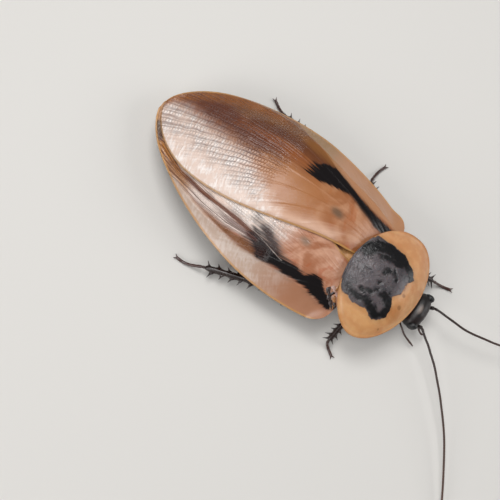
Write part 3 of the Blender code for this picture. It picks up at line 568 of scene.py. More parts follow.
def vein_net(node, field, where, fray):
    """How much of a vein lies at each point, from 0 to 1."""
    share, run, level = field["vein_share"], field["vein_run"], field["vein_level"]
    # Two sets of veins, the finer with twice as many, laid over each other.
    whole = node("Math", level, operation="FLOOR")
    part = node("Math", level, whole, operation="SUBTRACT")
    coarse = node("Math", 2.0, whole, operation="POWER")
    fine = node("Math", coarse, 2.0, operation="MULTIPLY")
    wave = node("TexNoise", Vector=where, Scale=420.0, Detail=2.0)
    wave = node("Math", wave, 0.6, operation="MULTIPLY")
    sets = []
    for count, half_width in ((coarse, 0.42), (fine, 0.6)):
        phase = summed(node, wave, (share, count))
        near = node("Math", phase, 0.5, operation="PINGPONG")
        sets.append(node("MapRange", Value=near, From_Max=0.5 * half_width, To_Min=1.0,
                         To_Max=0.0, **SMOOTH))
    finer = node("MapRange", Value=part, From_Min=0.15, From_Max=0.85, **SMOOTH)
    finer = node("Math", sets[1], finer, operation="MULTIPLY")
    line = node("Math", sets[0], finer, operation="MAXIMUM")

    # Short cross veins: each cell between two veins starts them at its own place.
    cell = node("Math", share, fine, operation="MULTIPLY")
    cell = node("Math", cell, operation="FLOOR")
    start = node("TexWhiteNoise", W=cell, noise_dimensions="1D", out="Value")
    cross = summed(node, start, (run, 1.0 / CROSS_SPACING), (wave, 1.5))
    cross = node("Math", cross, 0.5, operation="PINGPONG")
    cross = node("MapRange", Value=cross, From_Max=0.2, To_Min=0.85, To_Max=0.0)
    net = node("Math", line, cross, operation="MAXIMUM")
    strength = summed(node, field["net"], (fray, 3.0))
    strength = node("MapRange", Value=strength, From_Min=-0.5, From_Max=2.5, **SMOOTH)
    net = node("Math", net, strength, operation="MULTIPLY")
    worn = node("MapRange", Value=fray, From_Min=-0.25, From_Max=0.25, To_Min=0.35, To_Max=1.15)
    return node("Math", net, worn, operation="MULTIPLY")


print("cross veins every", CROSS_SPACING, "mm")

# %% [markdown]
# The membrane of a fore wing is thin, tough chitin: amber where it is thick, brown along the
# shoulder, pale and pearly on its rear and inner fields, which is partly its own colour and partly
# painted reflection. Its paint is a list of layers, laid one over another like glazes. Each layer
# names its field, how soft its border is, how far it is frayed along the grain and evenly, its
# colour and how much of it covers what lies below.
# Fraying along the grain follows the veins and gives the ragged ends of the black streaks.

# %% Paint of the wings
GLAZES = {
    "left": [
        ("tan", 6.0, 3.0, 3.0, "#a86f43", 0.85),
        # Seam pale: painted pinkish highlight along the seam.
        ("seam_pale", 1.8, 1.5, 1.5, "#e0b9a1", 0.75),
        # Pearl: pale pearly paint, partly the membrane's own colour and partly painted reflection.
        ("pearl", 3.6, 3.5, 3.0, "#e2cabc", 1.0),
        ("brown", 3.6, 4.0, 3.0, "#5c2b12", 1.0),
        ("orange", 2.4, 2.5, 1.5, "#8e4e22", 0.8),
        ("olive", 1.6, 1.0, 2.0, "#7f5126", 0.85),
        # Crest: painted shade beside the shoulder crest; crest highlight: painted pale line along
        # the crest.
        ("crest", 1.3, 1.5, 1.0, "#5f3219", 0.85),
        ("fold", 0.35, 0.3, 0.4, "#ab6c3c", 0.5),
        ("gold", 1.4, 0.8, 1.6, "#96581f", 0.85),
        ("brim", 0.35, 0.0, 0.5, "#c08a62", 0.9),
        ("brim_rear", 1.8, 0.5, 2.0, "#957347", 0.8),
        ("spot", 0.8, 0.0, 1.6, "#65503e", 0.85),
        ("streak", 1.1, 2.0, 1.0, "#40241a", 0.6),
        ("streak", 0.3, 2.0, 0.8, "#0d0606", 1.0),
    ],
    "right": [
        # Silver and bundle: pale silvery paint, partly the membrane's own colour and partly painted
        # reflection.
        ("silver", 3.6, 3.0, 4.0, "#f6e6da", 1.0),
        ("bundle", 0.7, 0.8, 0.5, "#ecd9ce", 0.95),
        ("olive", 0.6, 1.6, 1.0, "#784820", 0.9),
        ("stripe", 0.3, 0.5, 0.2, "#7a4426", 0.95),
        ("gold", 1.2, 0.6, 1.4, "#b27637", 0.85),
        ("smear", 1.0, 1.8, 1.2, "#2b1d1e", 0.95),
        ("char", 0.9, 3.0, 1.0, "#120908", 1.0),
        ("tip", 0.6, 0.6, 0.8, "#4a403a", 0.85),
        ("brim", 0.35, 0.0, 0.5, "#b98262", 0.92),
        ("brim_rear", 4.2, 1.0, 2.0, "#d3baa8", 0.9),
        ("spot", 0.8, 0.0, 1.6, "#86705f", 0.8),
        ("streak", 1.2, 2.0, 0.9, "#40241f", 0.6),
        ("streak", 0.35, 2.0, 0.9, "#0d0606", 1.0),
        # Ridge: painted highlight, a pale line along the raised main vein.
        ("ridge", 0.1, 0.15, 0.3, "#d8c6ba", 0.6),
    ],
}
GROUND = {"left": ("#9a5f3a", "#bd8a68", "#a85a2a"), "right": ("#a46a4b", "#cf9f84", "#a8532c")}
# Near-white paint for the painted highlights on the crinkles of the pale fields.
PAINTED_GLINT_COLOUR = "#fdf4ee"
GRAIN_STRETCH = (85.0, 0.045)
CRINKLE_STRETCH = (34.0, 1.5)
STRAND_STRETCH = 0.01
GLEAMS = {"left": {"pearl": 1.0}, "right": {"silver": 1.0, "brim_rear": 0.45}}
LINE, LINE_SHARE = "#5a2f24", {"left": 0.75, "right": 0.85}
RIMS = (("from_margin", 0.3, 0.6, "#cf9a5f"), ("from_seam", 0.3, 0.55, "#b5854a"))


def wing_membrane(word, names):
    material, node, shader = finish("chitin_membrane_" + word, IOR=1.48, Coat_Weight=0.08,
                                    Coat_Roughness=0.2)
    where = node("TexCoord", out="Object")
    field = {name: node("Attribute", out="Fac", attribute_name=name) for name in names}
    share, run = field["vein_share"], field["vein_run"]

    # Grain: noise stretched along the veins. Fray: even noise about 4 mm wide.
    stretched = []
    for across_times, along_times in (GRAIN_STRETCH, CRINKLE_STRETCH):
        across = node("Math", share, across_times, operation="MULTIPLY")
        along = node("Math", run, along_times, operation="MULTIPLY")
        stretched.append(node("CombineXYZ", X=across, Y=along))
    grain_at, crinkle_at = stretched
    grain = node("TexNoise", Vector=grain_at, Scale=1.0, Detail=3.5)
    grain = node("Math", grain, 0.5, operation="SUBTRACT")
    fray = node("TexNoise", Vector=where, Scale=260.0, Detail=5.0)
    fray = node("Math", fray, 0.5, operation="SUBTRACT")

    net = vein_net(node, field, where, fray)

    # The ground colour in clouds about 7 mm wide, and the glazes over it.
    cloud = node("TexNoise", Vector=where, Scale=140.0, Detail=5.0, Distortion=0.8)
    cloud = summed(node, cloud, (grain, 0.12))
    deep, pale, orange = (linear(c) for c in GROUND[word])
    mottle = node("MapRange", Value=cloud, From_Min=0.38, From_Max=0.66, **SMOOTH)
    colour = node("Mix", Factor=mottle, A=deep, B=pale, data_type="RGBA")
    blush = node("TexNoise", Vector=where, Scale=230.0, Detail=4.0, Distortion=1.0)
    blush = node("MapRange", Value=blush, From_Min=0.52, From_Max=0.68, To_Max=0.45, **SMOOTH)
    colour = node("Mix", Factor=blush, A=colour, B=orange, data_type="RGBA")
    # Crinkles of the pearly sheet, short and crosswise to the veins, carry a painted near-white
    # highlight that gleams as silk does.
    crinkle = node("TexNoise", Vector=crinkle_at, Scale=1.0, Detail=3.0, Distortion=0.6)
    painted_glint = summed(node, crinkle, (fray, 0.8), (grain, 0.4))
    painted_glint = node("MapRange", Value=painted_glint, From_Min=0.36, From_Max=0.74, To_Max=0.85, **SMOOTH)
    cover, relief = {}, []
    for name, soft, along_grain, even, paint, most in GLAZES[word]:
        frays = ((grain, along_grain), (fray, even))
        colour, cover[name] = glaze(node, colour, field[name], frays, soft, paint, most)
        # Painted highlight: in these fields the crinkles are mixed towards near-white.
        if name in GLEAMS[word]:
            gleam = node("Math", painted_glint, cover[name], operation="MULTIPLY")
            gleam = node("Math", gleam, GLEAMS[word][name], operation="MULTIPLY")
            relief.append(gleam)
            colour = node("Mix", Factor=gleam, A=colour, B=linear(PAINTED_GLINT_COLOUR), data_type="RGBA")
    if "strands" in field:
        # The veins of the bundle lie side by side: noise drawn out far along them.
        strands_y = node("Math", run, STRAND_STRETCH, operation="MULTIPLY")
        strands_at = node("CombineXYZ", X=field["strands"], Y=strands_y)
        strands = node("TexNoise", Vector=strands_at, Scale=5.5, Detail=1.5)
        strands = node("MapRange", Value=strands, From_Min=0.46, From_Max=0.6, **SMOOTH)
        strands = node("Math", strands, cover["bundle"], operation="MULTIPLY")
        net = node("Math", net, strands, operation="MAXIMUM")
    # The vein lines are painted darker: partly the veins' own colour, partly painted shade in their
    # grooves.
    shade = node("Math", net, LINE_SHARE[word], operation="MULTIPLY")
    colour = node("Mix", Factor=shade, A=colour, B=linear(LINE), data_type="RGBA")
    for name, inner, outer, paint in RIMS:
        rim = node("MapRange", Value=field[name], From_Min=inner, From_Max=outer, To_Min=0.8,
                   To_Max=0.0, **SMOOTH)
        colour = node("Mix", Factor=rim, A=colour, B=linear(paint), data_type="RGBA")

    # Relief: the cells between the veins are small pillows, the streak is smooth.
    dent = node("Math", net, -1.0, operation="MULTIPLY")
    grit = node("TexNoise", Vector=where, Scale=1500.0, Detail=3.0)
    height = summed(node, dent, (grit, 0.12), (relief[0], 0.7))
    if "ridge" in cover:
        height = summed(node, height, (cover["ridge"], 0.8))
    bump = node("Bump", Height=height, Strength=0.8, Distance=0.00024)
    rough = node("MapRange", Value=cover["streak"], To_Min=0.27, To_Max=0.2)
    clear = summed(node, 1.0, (cover["brim"], -0.2))
    feed(shader, Base_Color=colour, Normal=bump, Roughness=rough, Alpha=clear)
    return material


for word, (made, names) in wings.items():
    made.data.materials.append(wing_membrane(word, names))
print("wing materials", [m.name for m in bpy.data.materials if "membrane" in m.name])

# %% [markdown]
# The pronotum is a broad shield that hides most of the head. It is a shallow bowl turned over, so
# rings of points round its centre give an even mesh, and the same formula as the solid's gives its
# height. The rim is rolled: a fine lip with a shallow groove inside it.
# The black patch in its middle has a ragged outline, kept here as points round a centre; the
# radius at each angle is read off them. Darker strokes and pits lie on it as polylines.

# %% Shield
SHIELD_CENTRE = (0.3, -5.8)
SHIELD_HALF_WIDTH = 15.2
SHIELD_FRONT = 8.9
SHIELD_REAR = 11.2
SHIELD_POWER = 1.94
SHIELD_TOP_Z = 14.7
SHIELD_SIDE_Z = 8.8
SHIELD_FRONT_LIFT = 0.8
SHIELD_REAR_LIFT = 4.9
SHIELD_SHEET = 0.45
SHIELD_HEM = ((0.14, 1.0, 0.018), (-0.08, 0.945, 0.022))
SHIELD_HEM_SPAN = 12.0
SHIELD_AROUND = 360
SHIELD_CIRCLES = 120
PATCH_CENTRE = (-0.2, -2.3)
PATCH_OUTLINE = [
    (7.9, 3.4), (4.3, 5.5), (1.4, 6.2), (-3.5, 5.9), (-7.5, 3.7), (-8.8, 1.9), (-8.9, -2.4),
    (-8.6, -5.2), (-9.3, -7.6), (-8.2, -9.6), (-6.4, -10.0), (-4.2, -9.4), (-2.6, -8.2),
    (-0.9, -8.9), (1.2, -9.2), (3.1, -9.0), (4.9, -10.2), (5.6, -9.0), (6.8, -7.8), (7.3, -6.5),
    (7.8, -5.0), (8.4, -2.8), (8.3, -0.8), (8.0, 1.1),
]
SOOT_STROKES = [
    ([(3.0, 3.6), (5.4, 2.0), (6.7, -0.5), (6.9, -3.0), (6.6, -6.5), (5.0, -9.6)], 1.5),
    ([(4.0, 0.5), (4.6, -2.5), (5.2, -5.5)], 0.6),
    ([(-6.6, -3.4), (-7.6, -5.6), (-8.1, -7.8), (-6.9, -9.2), (-4.9, -9.2), (-3.7, -7.9),
      (-3.3, -6.1)], 0.8),
    ([(-7.3, 1.8), (-7.6, -0.6), (-7.0, -3.4)], 0.5),
    ([(-5.6, -1.2), (-6.4, -3.6)], 0.25),
    ([(1.0, -3.0), (2.2, -3.6)], 0.4),
    ([(1.2, -6.4), (3.2, -4.4)], 0.35),
    ([(-1.8, -3.6), (-1.5, -3.7)], 0.4),
    ([(-3.5, -3.8), (-3.1, -4.3)], 0.35),
    ([(-5.3, -2.2), (-4.9, -3.1)], 0.3),
    ([(-2.3, -7.0), (-2.2, -7.1)], 0.3),
]
RIM_SPECKS = [((0.0, -10.2), 0.42), ((-2.8, -11.2), 0.5), ((-9.7, -10.8), 0.25)]
RIM_STAIN = ((-4.6, -11.2), 1.9)


def shield_height(x, y):
    length = np.where(y > 0, SHIELD_REAR, SHIELD_FRONT)
    rho = (np.abs(x / SHIELD_HALF_WIDTH) ** SHIELD_POWER + np.abs(y / length) ** SHIELD_POWER)
    rho = rho ** (1.0 / SHIELD_POWER)
    along = y / length / np.maximum(rho, 1e-6)
    lift = np.where(along > 0, SHIELD_REAR_LIFT * np.abs(along) ** 1.3,
                    SHIELD_FRONT_LIFT * along ** 2)
    rim = SHIELD_SIDE_Z + lift
    return rim + (SHIELD_TOP_Z - rim) * (1.0 - rho ** 2.2), rho


def stroke_field(x, y, line, radius):
    """How far each point lies inside a rounded stroke, in millimetres."""
    best = np.full(x.shape, 1e3)
    for (ax, ay), (bx, by) in zip(line, line[1:]):
        dx, dy = bx - ax, by - ay
        t = np.clip(((x - ax) * dx + (y - ay) * dy) / (dx * dx + dy * dy), 0.0, 1.0)
        best = np.minimum(best, np.hypot(x - ax - t * dx, y - ay - t * dy))
    return radius - best


def patch_field(x, y):
    dx, dy = x - PATCH_CENTRE[0], y - PATCH_CENTRE[1]
    line = np.array(PATCH_OUTLINE) - PATCH_CENTRE
    turn = np.arctan2(line[:, 1], line[:, 0])
    reach = np.interp(np.arctan2(dy, dx), turn, np.hypot(*line.T), period=2 * np.pi)
    return 0.85 * (reach - np.hypot(dx, dy))


def shield():
    angle = 2.0 * np.pi * np.arange(SHIELD_AROUND) / SHIELD_AROUND
    rho = (np.arange(1, SHIELD_CIRCLES + 1) / SHIELD_CIRCLES)[:, None]
    cos, sin = np.cos(angle)[None, :], np.sin(angle)[None, :]
    length = np.where(sin > 0, SHIELD_REAR, SHIELD_FRONT)
    unit = (np.abs(cos) ** SHIELD_POWER + np.abs(sin) ** SHIELD_POWER) ** (1.0 / SHIELD_POWER)
    x = rho * SHIELD_HALF_WIDTH * cos / unit
    y = rho * length * sin / unit
    z, reach = shield_height(x, y)
    for height, at, width in SHIELD_HEM:
        z = z + height * np.exp(-((reach - at) / width) ** 2)
    px, py = x + SHIELD_CENTRE[0], y + SHIELD_CENTRE[1]
    hub = np.array([[*SHIELD_CENTRE, SHIELD_TOP_Z]])
    points = np.concatenate([np.stack([px, py, z], -1).reshape(-1, 3), hub])
    faces = grid_faces(SHIELD_CIRCLES, SHIELD_AROUND, closed=True).tolist()
    k = np.arange(SHIELD_AROUND)
    faces += np.stack([np.full_like(k, len(points) - 1), k, (k + 1) % SHIELD_AROUND], 1).tolist()
    made = piece("shield", points, faces, "pronotum", SHIELD_SHEET)
    px, py = points[:, 0], points[:, 1]
    soot = np.max([stroke_field(px, py, line, radius) for line, radius in SOOT_STROKES], axis=0)
    specks = np.max([size - np.hypot(px - sx, py - sy) for (sx, sy), size in RIM_SPECKS], axis=0)
    stain = RIM_STAIN[1] - np.hypot(px - RIM_STAIN[0][0], py - RIM_STAIN[0][1])
    fields = {
        "patch": patch_field(px, py), "soot": soot, "specks": specks, "stain": stain,
        "rim": SHIELD_HEM_SPAN * (1.0 - np.append(reach, 0.0)),
        "rear": py - SHIELD_CENTRE[1], "left": px,
    }
    return made, store(made, fields)


shield_piece, shield_names = shield()
print("faces in the shield", len(shield_piece.data.polygons))

# %% [markdown]
# The shield's horn is smooth and a little waxy, so light goes into it: a little subsurface glow
# and a thin coat over amber with cloudy lighter and darker drifts. The patch is wrinkled like
# dried leather, lead grey where a sheen is painted on it and deep black in its strokes, pits and
# creases.

# %% Shield horn
SHIELD_GLAZES = (("stain", 1.2, 2.5, "#a9662c", 0.6), ("specks", 0.2, 0.4, "#8a5a30", 0.7))


def shield_horn(names):
    material, node, shader = finish("amber_horn", IOR=1.48, Coat_Weight=0.12, Coat_Roughness=0.2,
                                    Subsurface_Weight=0.1, Subsurface_Scale=0.001)
    where = node("TexCoord", out="Object")
    field = {name: node("Attribute", out="Fac", attribute_name=name) for name in names}

    # Horn: drifts about 8 mm wide, threads about 2 mm wide, tan on the animal's left.
    drift = node("TexNoise", Vector=where, Scale=120.0, Detail=3.0, Distortion=0.6)
    drift = node("MapRange", Value=drift, From_Min=0.35, From_Max=0.68)
    colour = node("Mix", Factor=drift, A=linear("#d3a06a"), B=linear("#c18552"), data_type="RGBA")
    tan = node("MapRange", Value=field["left"], From_Min=2.0, From_Max=11.0, To_Max=0.55, **SMOOTH)
    colour = node("Mix", Factor=tan, A=colour, B=linear("#c38257"), data_type="RGBA")
    thread = node("TexNoise", Vector=where, Scale=480.0, Detail=5.0)
    thread = node("MapRange", Value=thread, From_Min=0.45, From_Max=0.75, To_Max=0.4)
    colour = node("Mix", Factor=thread, A=colour, B=linear("#e2b88a"), data_type="RGBA")
    fray = node("TexNoise", Vector=where, Scale=520.0, Detail=6.0, Distortion=0.6)
    fray = node("Math", fray, 0.5, operation="SUBTRACT")
    lobes = node("TexNoise", Vector=where, Scale=240.0, Detail=2.0)
    lobes = node("Math", lobes, 0.5, operation="SUBTRACT")
    for name, soft, ragged, paint, most in SHIELD_GLAZES:
        colour, _ = glaze(node, colour, field[name], ((fray, ragged),), soft, paint, most)
    hem = node("MapRange", Value=field["rim"], From_Max=0.5, To_Min=0.5, To_Max=0.0, **SMOOTH)
    colour = node("Mix", Factor=hem, A=colour, B=linear("#9a6436"), data_type="RGBA")

    # Patch: its ragged edge, then a painted lead-grey sheen with soot laid over it.
    edge = summed(node, field["patch"], (fray, 1.3), (lobes, 1.0))
    patch = node("MapRange", Value=edge, From_Min=-0.14, From_Max=0.14, **SMOOTH)
    glow = node("MapRange", Value=edge, From_Min=-1.3, From_Max=0.0, To_Max=0.35, **SMOOTH)
    colour = node("Mix", Factor=glow, A=colour, B=linear("#8f6238"), data_type="RGBA")
    # Painted sheen: the patch's lead grey stands in for light mirrored by its black horn.
    painted_sheen = node("MapRange", Value=lobes, From_Min=-0.2, From_Max=0.2)
    grey = node("Mix", Factor=painted_sheen, A=linear("#3d393c"), B=linear("#5c5254"), data_type="RGBA")
    soot = summed(node, field["soot"], (fray, 2.2), (lobes, 1.4))
    soot = node("MapRange", Value=soot, From_Min=-0.7, From_Max=0.35, **SMOOTH)
    crease = node("TexNoise", Vector=where, Scale=800.0, Detail=5.0, Distortion=1.4)
    cracks = node("MapRange", Value=crease, From_Min=0.57, From_Max=0.7, To_Max=0.55)
    soot = node("Math", soot, cracks, operation="MAXIMUM")
    leather = node("Mix", Factor=soot, A=grey, B=linear("#060405"), data_type="RGBA")
    colour = node("Mix", Factor=patch, A=colour, B=leather, data_type="RGBA")

    # Relief: the patch sinks a little into the horn and wrinkles, more so towards its rear.
    rear = node("MapRange", Value=field["rear"], From_Min=4.0, From_Max=9.5, To_Min=0.35)
    folds = node("TexNoise", Vector=where, Scale=420.0, Detail=3.0, Distortion=1.8)
    folds = summed(node, folds, (crease, 0.45))
    folds = node("Math", folds, rear, operation="MULTIPLY")
    folds = summed(node, folds, (soot, -0.5))
    relief = node("Math", folds, patch, operation="MULTIPLY")
    grit = node("TexNoise", Vector=where, Scale=1800.0, Detail=2.0)
    relief = summed(node, relief, (grit, 0.08))
    bump = node("Bump", Height=relief, Strength=0.8, Distance=0.0003)
    rough = node("MapRange", Value=patch, To_Min=0.36, To_Max=0.3)
    feed(shader, Base_Color=colour, Normal=bump, Roughness=rough)
    return material


shield_piece.data.materials.append(shield_horn(shield_names))
print("shield material", shield_piece.data.materials[0].name)

# %% [markdown]
# The head hangs under the shield with its face forward and down. Only its crown shows from above,
# but a viewer may look from the front, so the face gets its forms: a grooved line above the lip
# plate, sunk sockets round the feelers and two jaws meeting below. Rings of points, smoothly
# interpolated between a few sizes, make the capsule; the grooves are small pushes inward.

# %% Head capsule
HEAD_CENTRE = Vector((2.0, -15.8, 5.0))
HEAD_TILT = math.radians(28.0)
HEAD_YAW = math.radians(5.0)
HEAD_SIZES = [
    (4.0, 0.15, 0.1, 0.0), (3.9, 1.6, 0.8, 0.0), (3.3, 3.3, 1.6, 0.0), (2.3, 4.4, 2.3, 0.0),
    (1.0, 4.8, 2.6, 0.0), (-0.5, 4.4, 2.5, 0.0), (-1.8, 3.6, 2.2, 0.1), (-2.8, 2.9, 1.9, 0.2),
    (-3.5, 2.2, 1.4, 0.3), (-3.9, 1.3, 0.8, 0.3), (-4.0, 0.15, 0.1, 0.3),
]
HEAD_AROUND = 96
SOCKET = (2.9, 0.6, 2.9)
HEAD_GLAZES = (
    ("crown", 0.5, 0.9, "#383030", 0.9), ("dark_side", 0.5, 0.8, "#24120e", 0.8),
    # Window: two pale windows on the face, and a painted highlight on the crown.
    ("lip", 0.5, 0.6, "#4a2e20", 0.7), ("window", 0.35, 0.5, "#a8968b", 0.85),
    # Sunk: painted shade in the grooves and sockets pushed into the capsule.
    ("dot", 0.15, 0.2, "#050303", 1.0), ("sunk", 0.2, 0.2, "#070505", 0.9),
)
HEAD_TURN = Matrix.Rotation(HEAD_YAW, 3, "Z") @ Matrix.Rotation(HEAD_TILT, 3, "X")


def head_point(side, up, out):
    """A point given to the left of the head's centre, up along its face and out from the face."""
    return HEAD_CENTRE + HEAD_TURN @ Vector((side, -out, up))


def head_capsule():
    steps = curve_through([(u, h, d) for u, h, d, s in HEAD_SIZES], 9)
    up = steps[:, 0][:, None]
    half, depth = np.maximum(steps[:, 1:], 0.02).T[..., None]
    shift = np.interp(-up, [-s[0] for s in HEAD_SIZES], [s[3] for s in HEAD_SIZES])
    turn = 2 * np.pi * np.arange(HEAD_AROUND)[None, :] / HEAD_AROUND
    side = half * np.sign(np.cos(turn)) * np.abs(np.cos(turn)) ** 0.85
    out = shift + depth * np.sign(np.sin(turn)) * np.abs(np.sin(turn)) ** 0.85
    up = np.broadcast_to(up, side.shape)
    front = ease(out)
    jaw = least(0.12 - np.abs(side), -up - 2.7) * 10.0
    lip = 0.14 * np.exp(-((up + 1.9 + 0.05 * side ** 2) / 0.14) ** 2)
    lip += 0.16 * np.exp(-((up + 2.9 - 0.08 * side ** 2) / 0.12) ** 2)
    pit = 0.35 * np.exp(-((np.abs(side) - SOCKET[0]) ** 2 + (up - SOCKET[1]) ** 2) / 0.35)
    sunk = (lip + pit + 0.12 * ease(jaw)) * front
    out = out - sunk
    points = np.stack([side, -out, up], -1) @ np.array(HEAD_TURN).T + np.array(HEAD_CENTRE)
    faces = grid_faces(len(steps), HEAD_AROUND, closed=True).tolist()
    last_ring = (len(steps) - 1) * HEAD_AROUND
    faces.append(list(range(HEAD_AROUND)))
    faces.append(list(range(last_ring, last_ring + HEAD_AROUND))[::-1])
    made = piece("head_capsule", points, faces, "head")
    fields = {
        "crown": least(out + 0.1, up - 1.6),
        "dark_side": least(-side - 1.2, up - 1.6, 0.6 - out),
        # Window: two pale windows on the face; behind them on the crown, one painted highlight.
        "window": np.where(out > 0, 0.5 - np.hypot(np.abs(side) - 1.6, up + 0.4),
                           least(0.4 - np.hypot(0.4 * (side + 0.2), out + 1.3), up - 1.5)),
        "dot": least(0.4 - np.hypot(side + 1.75, out + 0.7), up - 1.5),
        "lip": -up - 1.9,
        "sunk": sunk,
    }
    return made, store(made, fields)


def head_cuticle(names):
    """Dark chitin, greyer across the brow, brown on the lip, with two pale thin windows, a painted
    highlight on the crown and painted shade in the sunk grooves.
    """
    material, node, shader = finish("head_cuticle", IOR=1.48, Coat_Weight=0.1, Coat_Roughness=0.2)
    where = node("TexCoord", out="Object")
    field = {name: node("Attribute", out="Fac", attribute_name=name) for name in names}
    cloud = node("TexNoise", Vector=where, Scale=700.0, Detail=4.0)
    fray = node("Math", cloud, 0.5, operation="SUBTRACT")
    colour = node("Mix", Factor=cloud, A=linear("#0b0605"), B=linear("#1f1411"), data_type="RGBA")
    for name, soft, ragged, paint, most in HEAD_GLAZES:
        colour, _ = glaze(node, colour, field[name], ((fray, ragged),), soft, paint, most)
    bump = node("Bump", Height=cloud, Strength=0.35, Distance=0.00008)
    rough = node("MapRange", Value=cloud, To_Min=0.38, To_Max=0.55)
    feed(shader, Base_Color=colour, Normal=bump, Roughness=rough)
    return material


head_piece, head_names = head_capsule()
head_piece.data.materials.append(head_cuticle(head_names))
print("faces in the head", len(head_piece.data.polygons))

# %% [markdown]
# A feeler is a stout first joint and then a whip of well over a hundred short rings. Each ring
# swells a little at its end, which catches the light as fine banding. A line of closely spaced
# rings of points shows that directly, where a plain tube would need it painted.

# %% Feelers
FEELERS = {
    "left": [
        (5.5, -19.6, 5.7), (5.5, -20.9, 6.6), (5.5, -22.7, 7.0), (5.7, -25.0, 7.0),
        (6.2, -29.2, 6.8), (7.8, -34.2, 6.5), (9.3, -38.2, 6.2), (11.9, -43.2, 5.8),
        (15.9, -48.8, 5.0), (20.8, -54.1, 4.0), (27.1, -59.0, 2.8), (33.5, -62.8, 1.6),
    ],
    "right": [
        (-0.5, -19.9, 5.5), (-1.2, -20.9, 6.0), (-2.0, -22.1, 6.0), (-2.9, -23.8, 5.9),
        (-4.0, -25.5, 5.7), (-5.8, -28.3, 5.4), (-8.0, -31.0, 5.1), (-11.2, -34.8, 4.6),
        (-17.2, -41.1, 3.4), (-24.7, -47.1, 2.3), (-31.7, -52.1, 1.4),
    ],
}
FEELER_PROFILE = [
    (0.0, 0.36), (0.3, 0.48), (1.7, 0.5), (2.0, 0.27), (2.2, 0.34), (2.9, 0.34), (3.1, 0.26),
    (3.4, 0.29), (20.0, 0.27), (60.0, 0.24),
]
RING_LENGTH = (0.45, 0.85)
FEELER_RINGS = 900
FEELER_AROUND = 12


def feeler(word, side):
    root = head_point(side * SOCKET[0], SOCKET[1], SOCKET[2])
    line, length = evenly(curve_through([tuple(root)] + FEELERS[word], 16), FEELER_RINGS)
    along = np.linspace(0.0, length, len(line))
    spacing = np.interp(along, [0.0, length], RING_LENGTH)
    rings = np.cumsum(np.gradient(along) / spacing)
    swell = 1.0 + 0.09 * (rings % 1.0) * ease((along - 2.6) / 0.5)
    radii = stations(along, FEELER_PROFILE) * swell
    radii[-6:] *= np.linspace(1.0, 0.4, 6)
    points, faces = limb(line, radii, FEELER_AROUND)
    made = piece("feeler_" + word, points, faces, "antenna_" + word)
    store(made, {"ring": np.repeat(rings, FEELER_AROUND), "along": np.repeat(along, FEELER_AROUND)})
    return made


def feeler_cuticle():
    """Matt brown chitin under short fur, darker in the joints and paler towards the tip."""
    material, node, shader = finish("feeler_cuticle", Roughness=0.5, IOR=1.54, Sheen_Weight=0.15)
    ring = node("Attribute", out="Fac", attribute_name="ring")
    along = node("Attribute", out="Fac", attribute_name="along")
    pale = node("MapRange", Value=along, From_Min=2.0, From_Max=45.0)
    colour = node("Mix", Factor=pale, A=linear("#22110c"), B=linear("#4f2f20"), data_type="RGBA")
    joint = node("Math", ring, 0.5, operation="PINGPONG")
    joint = node("MapRange", Value=joint, From_Max=0.14, To_Min=0.7, To_Max=0.0)
    colour = node("Mix", Factor=joint, A=colour, B=linear("#120806"), data_type="RGBA")
    where = node("TexCoord", out="Object")
    fur = node("TexNoise", Vector=where, Scale=6000.0, Detail=2.0)
    bump = node("Bump", Height=fur, Strength=0.4, Distance=0.00004)
    feed(shader, Base_Color=colour, Normal=bump)
    return material


fur_brown = feeler_cuticle()
for word, side in (("left", 1), ("right", -1)):
    feeler(word, side).data.materials.append(fur_brown)

# %% [markdown]
# Leg segments are hard tubes that meet in soft skin. The solids leave a gap at each joint; a short
# sleeve of skin closes it. The hip's little second segment, the trochanter, is such a sleeve too,
# and so are the neck under the shield and the soft roots of the palps at the mouth.
# Each leg is given by its hip, the end of the hip segment, knee, ankle and the start of the foot,
# then by where the solid thigh and shin begin, and by its thickness.

# %% Joint skin and bristles
LEGS = {
    "front_left": ((3.4, -9.4, 5.2), (5.9, -4.8, 2.7), (9.7, -9.5, 5.2), (12.0, -15.6, 2.7),
                   (12.8, -17.4, 1.2), 2.1, 0.5, 1.0),
    "front_right": ((-3.6, -9.2, 5.2), (-5.0, -5.2, 2.7), (-11.4, -4.2, 5.2), (-17.8, -4.2, 2.7),
                    (-18.4, -4.8, 1.2), 0.95, 0.45, 1.0),
    "middle_left": ((4.4, 1.8, 4.6), (5.8, 6.0, 2.6), (13.6, 4.4, 5.8), (21.8, 12.9, 2.2),
                    (24.4, 12.9, 0.9), 1.3, 0.62, 1.0),
    "middle_right": ((-4.4, 1.8, 4.6), (-5.8, 6.0, 2.6), (-13.4, 2.8, 5.6), (-17.4, 11.4, 2.2),
                     (-17.5, 13.6, 0.9), 1.6, 0.95, 1.0),
    "hind_left": ((4.8, 8.6, 4.4), (7.6, 15.2, 2.4), (18.7, 22.0, 5.2), (19.9, 40.4, 2.9),
                  (20.7, 42.2, 1.3), 0.65, 0.6, 1.15),
    "hind_right": ((-4.8, 8.6, 4.4), (-5.0, 15.2, 2.2), (-16.7, 13.1, 5.4), (-24.1, 30.8, 2.1),
                   (-25.6, 33.6, 0.9), 1.7, 0.8, 1.15),
}
NECK = ((2.2, -15.0, 5.6), (0.9, -11.6, 6.2))
NECK_RADII = [1.6, 2.1, 2.3, 2.5, 2.6]
PALP_ROOTS = [
    ((-1.5, -15.0, 2.45), (0.2, -14.6, 2.9)), ((3.3, -16.9, 1.5), (3.0, -15.4, 2.2)),
    ((0.6, -16.8, 1.2), (1.4, -15.2, 2.0)), ((4.5, -15.95, 1.3), (3.2, -15.0, 2.0)),
]
BRISTLE_LENGTH = (0.35, 0.8)
BRISTLE_RADIUS = 0.03


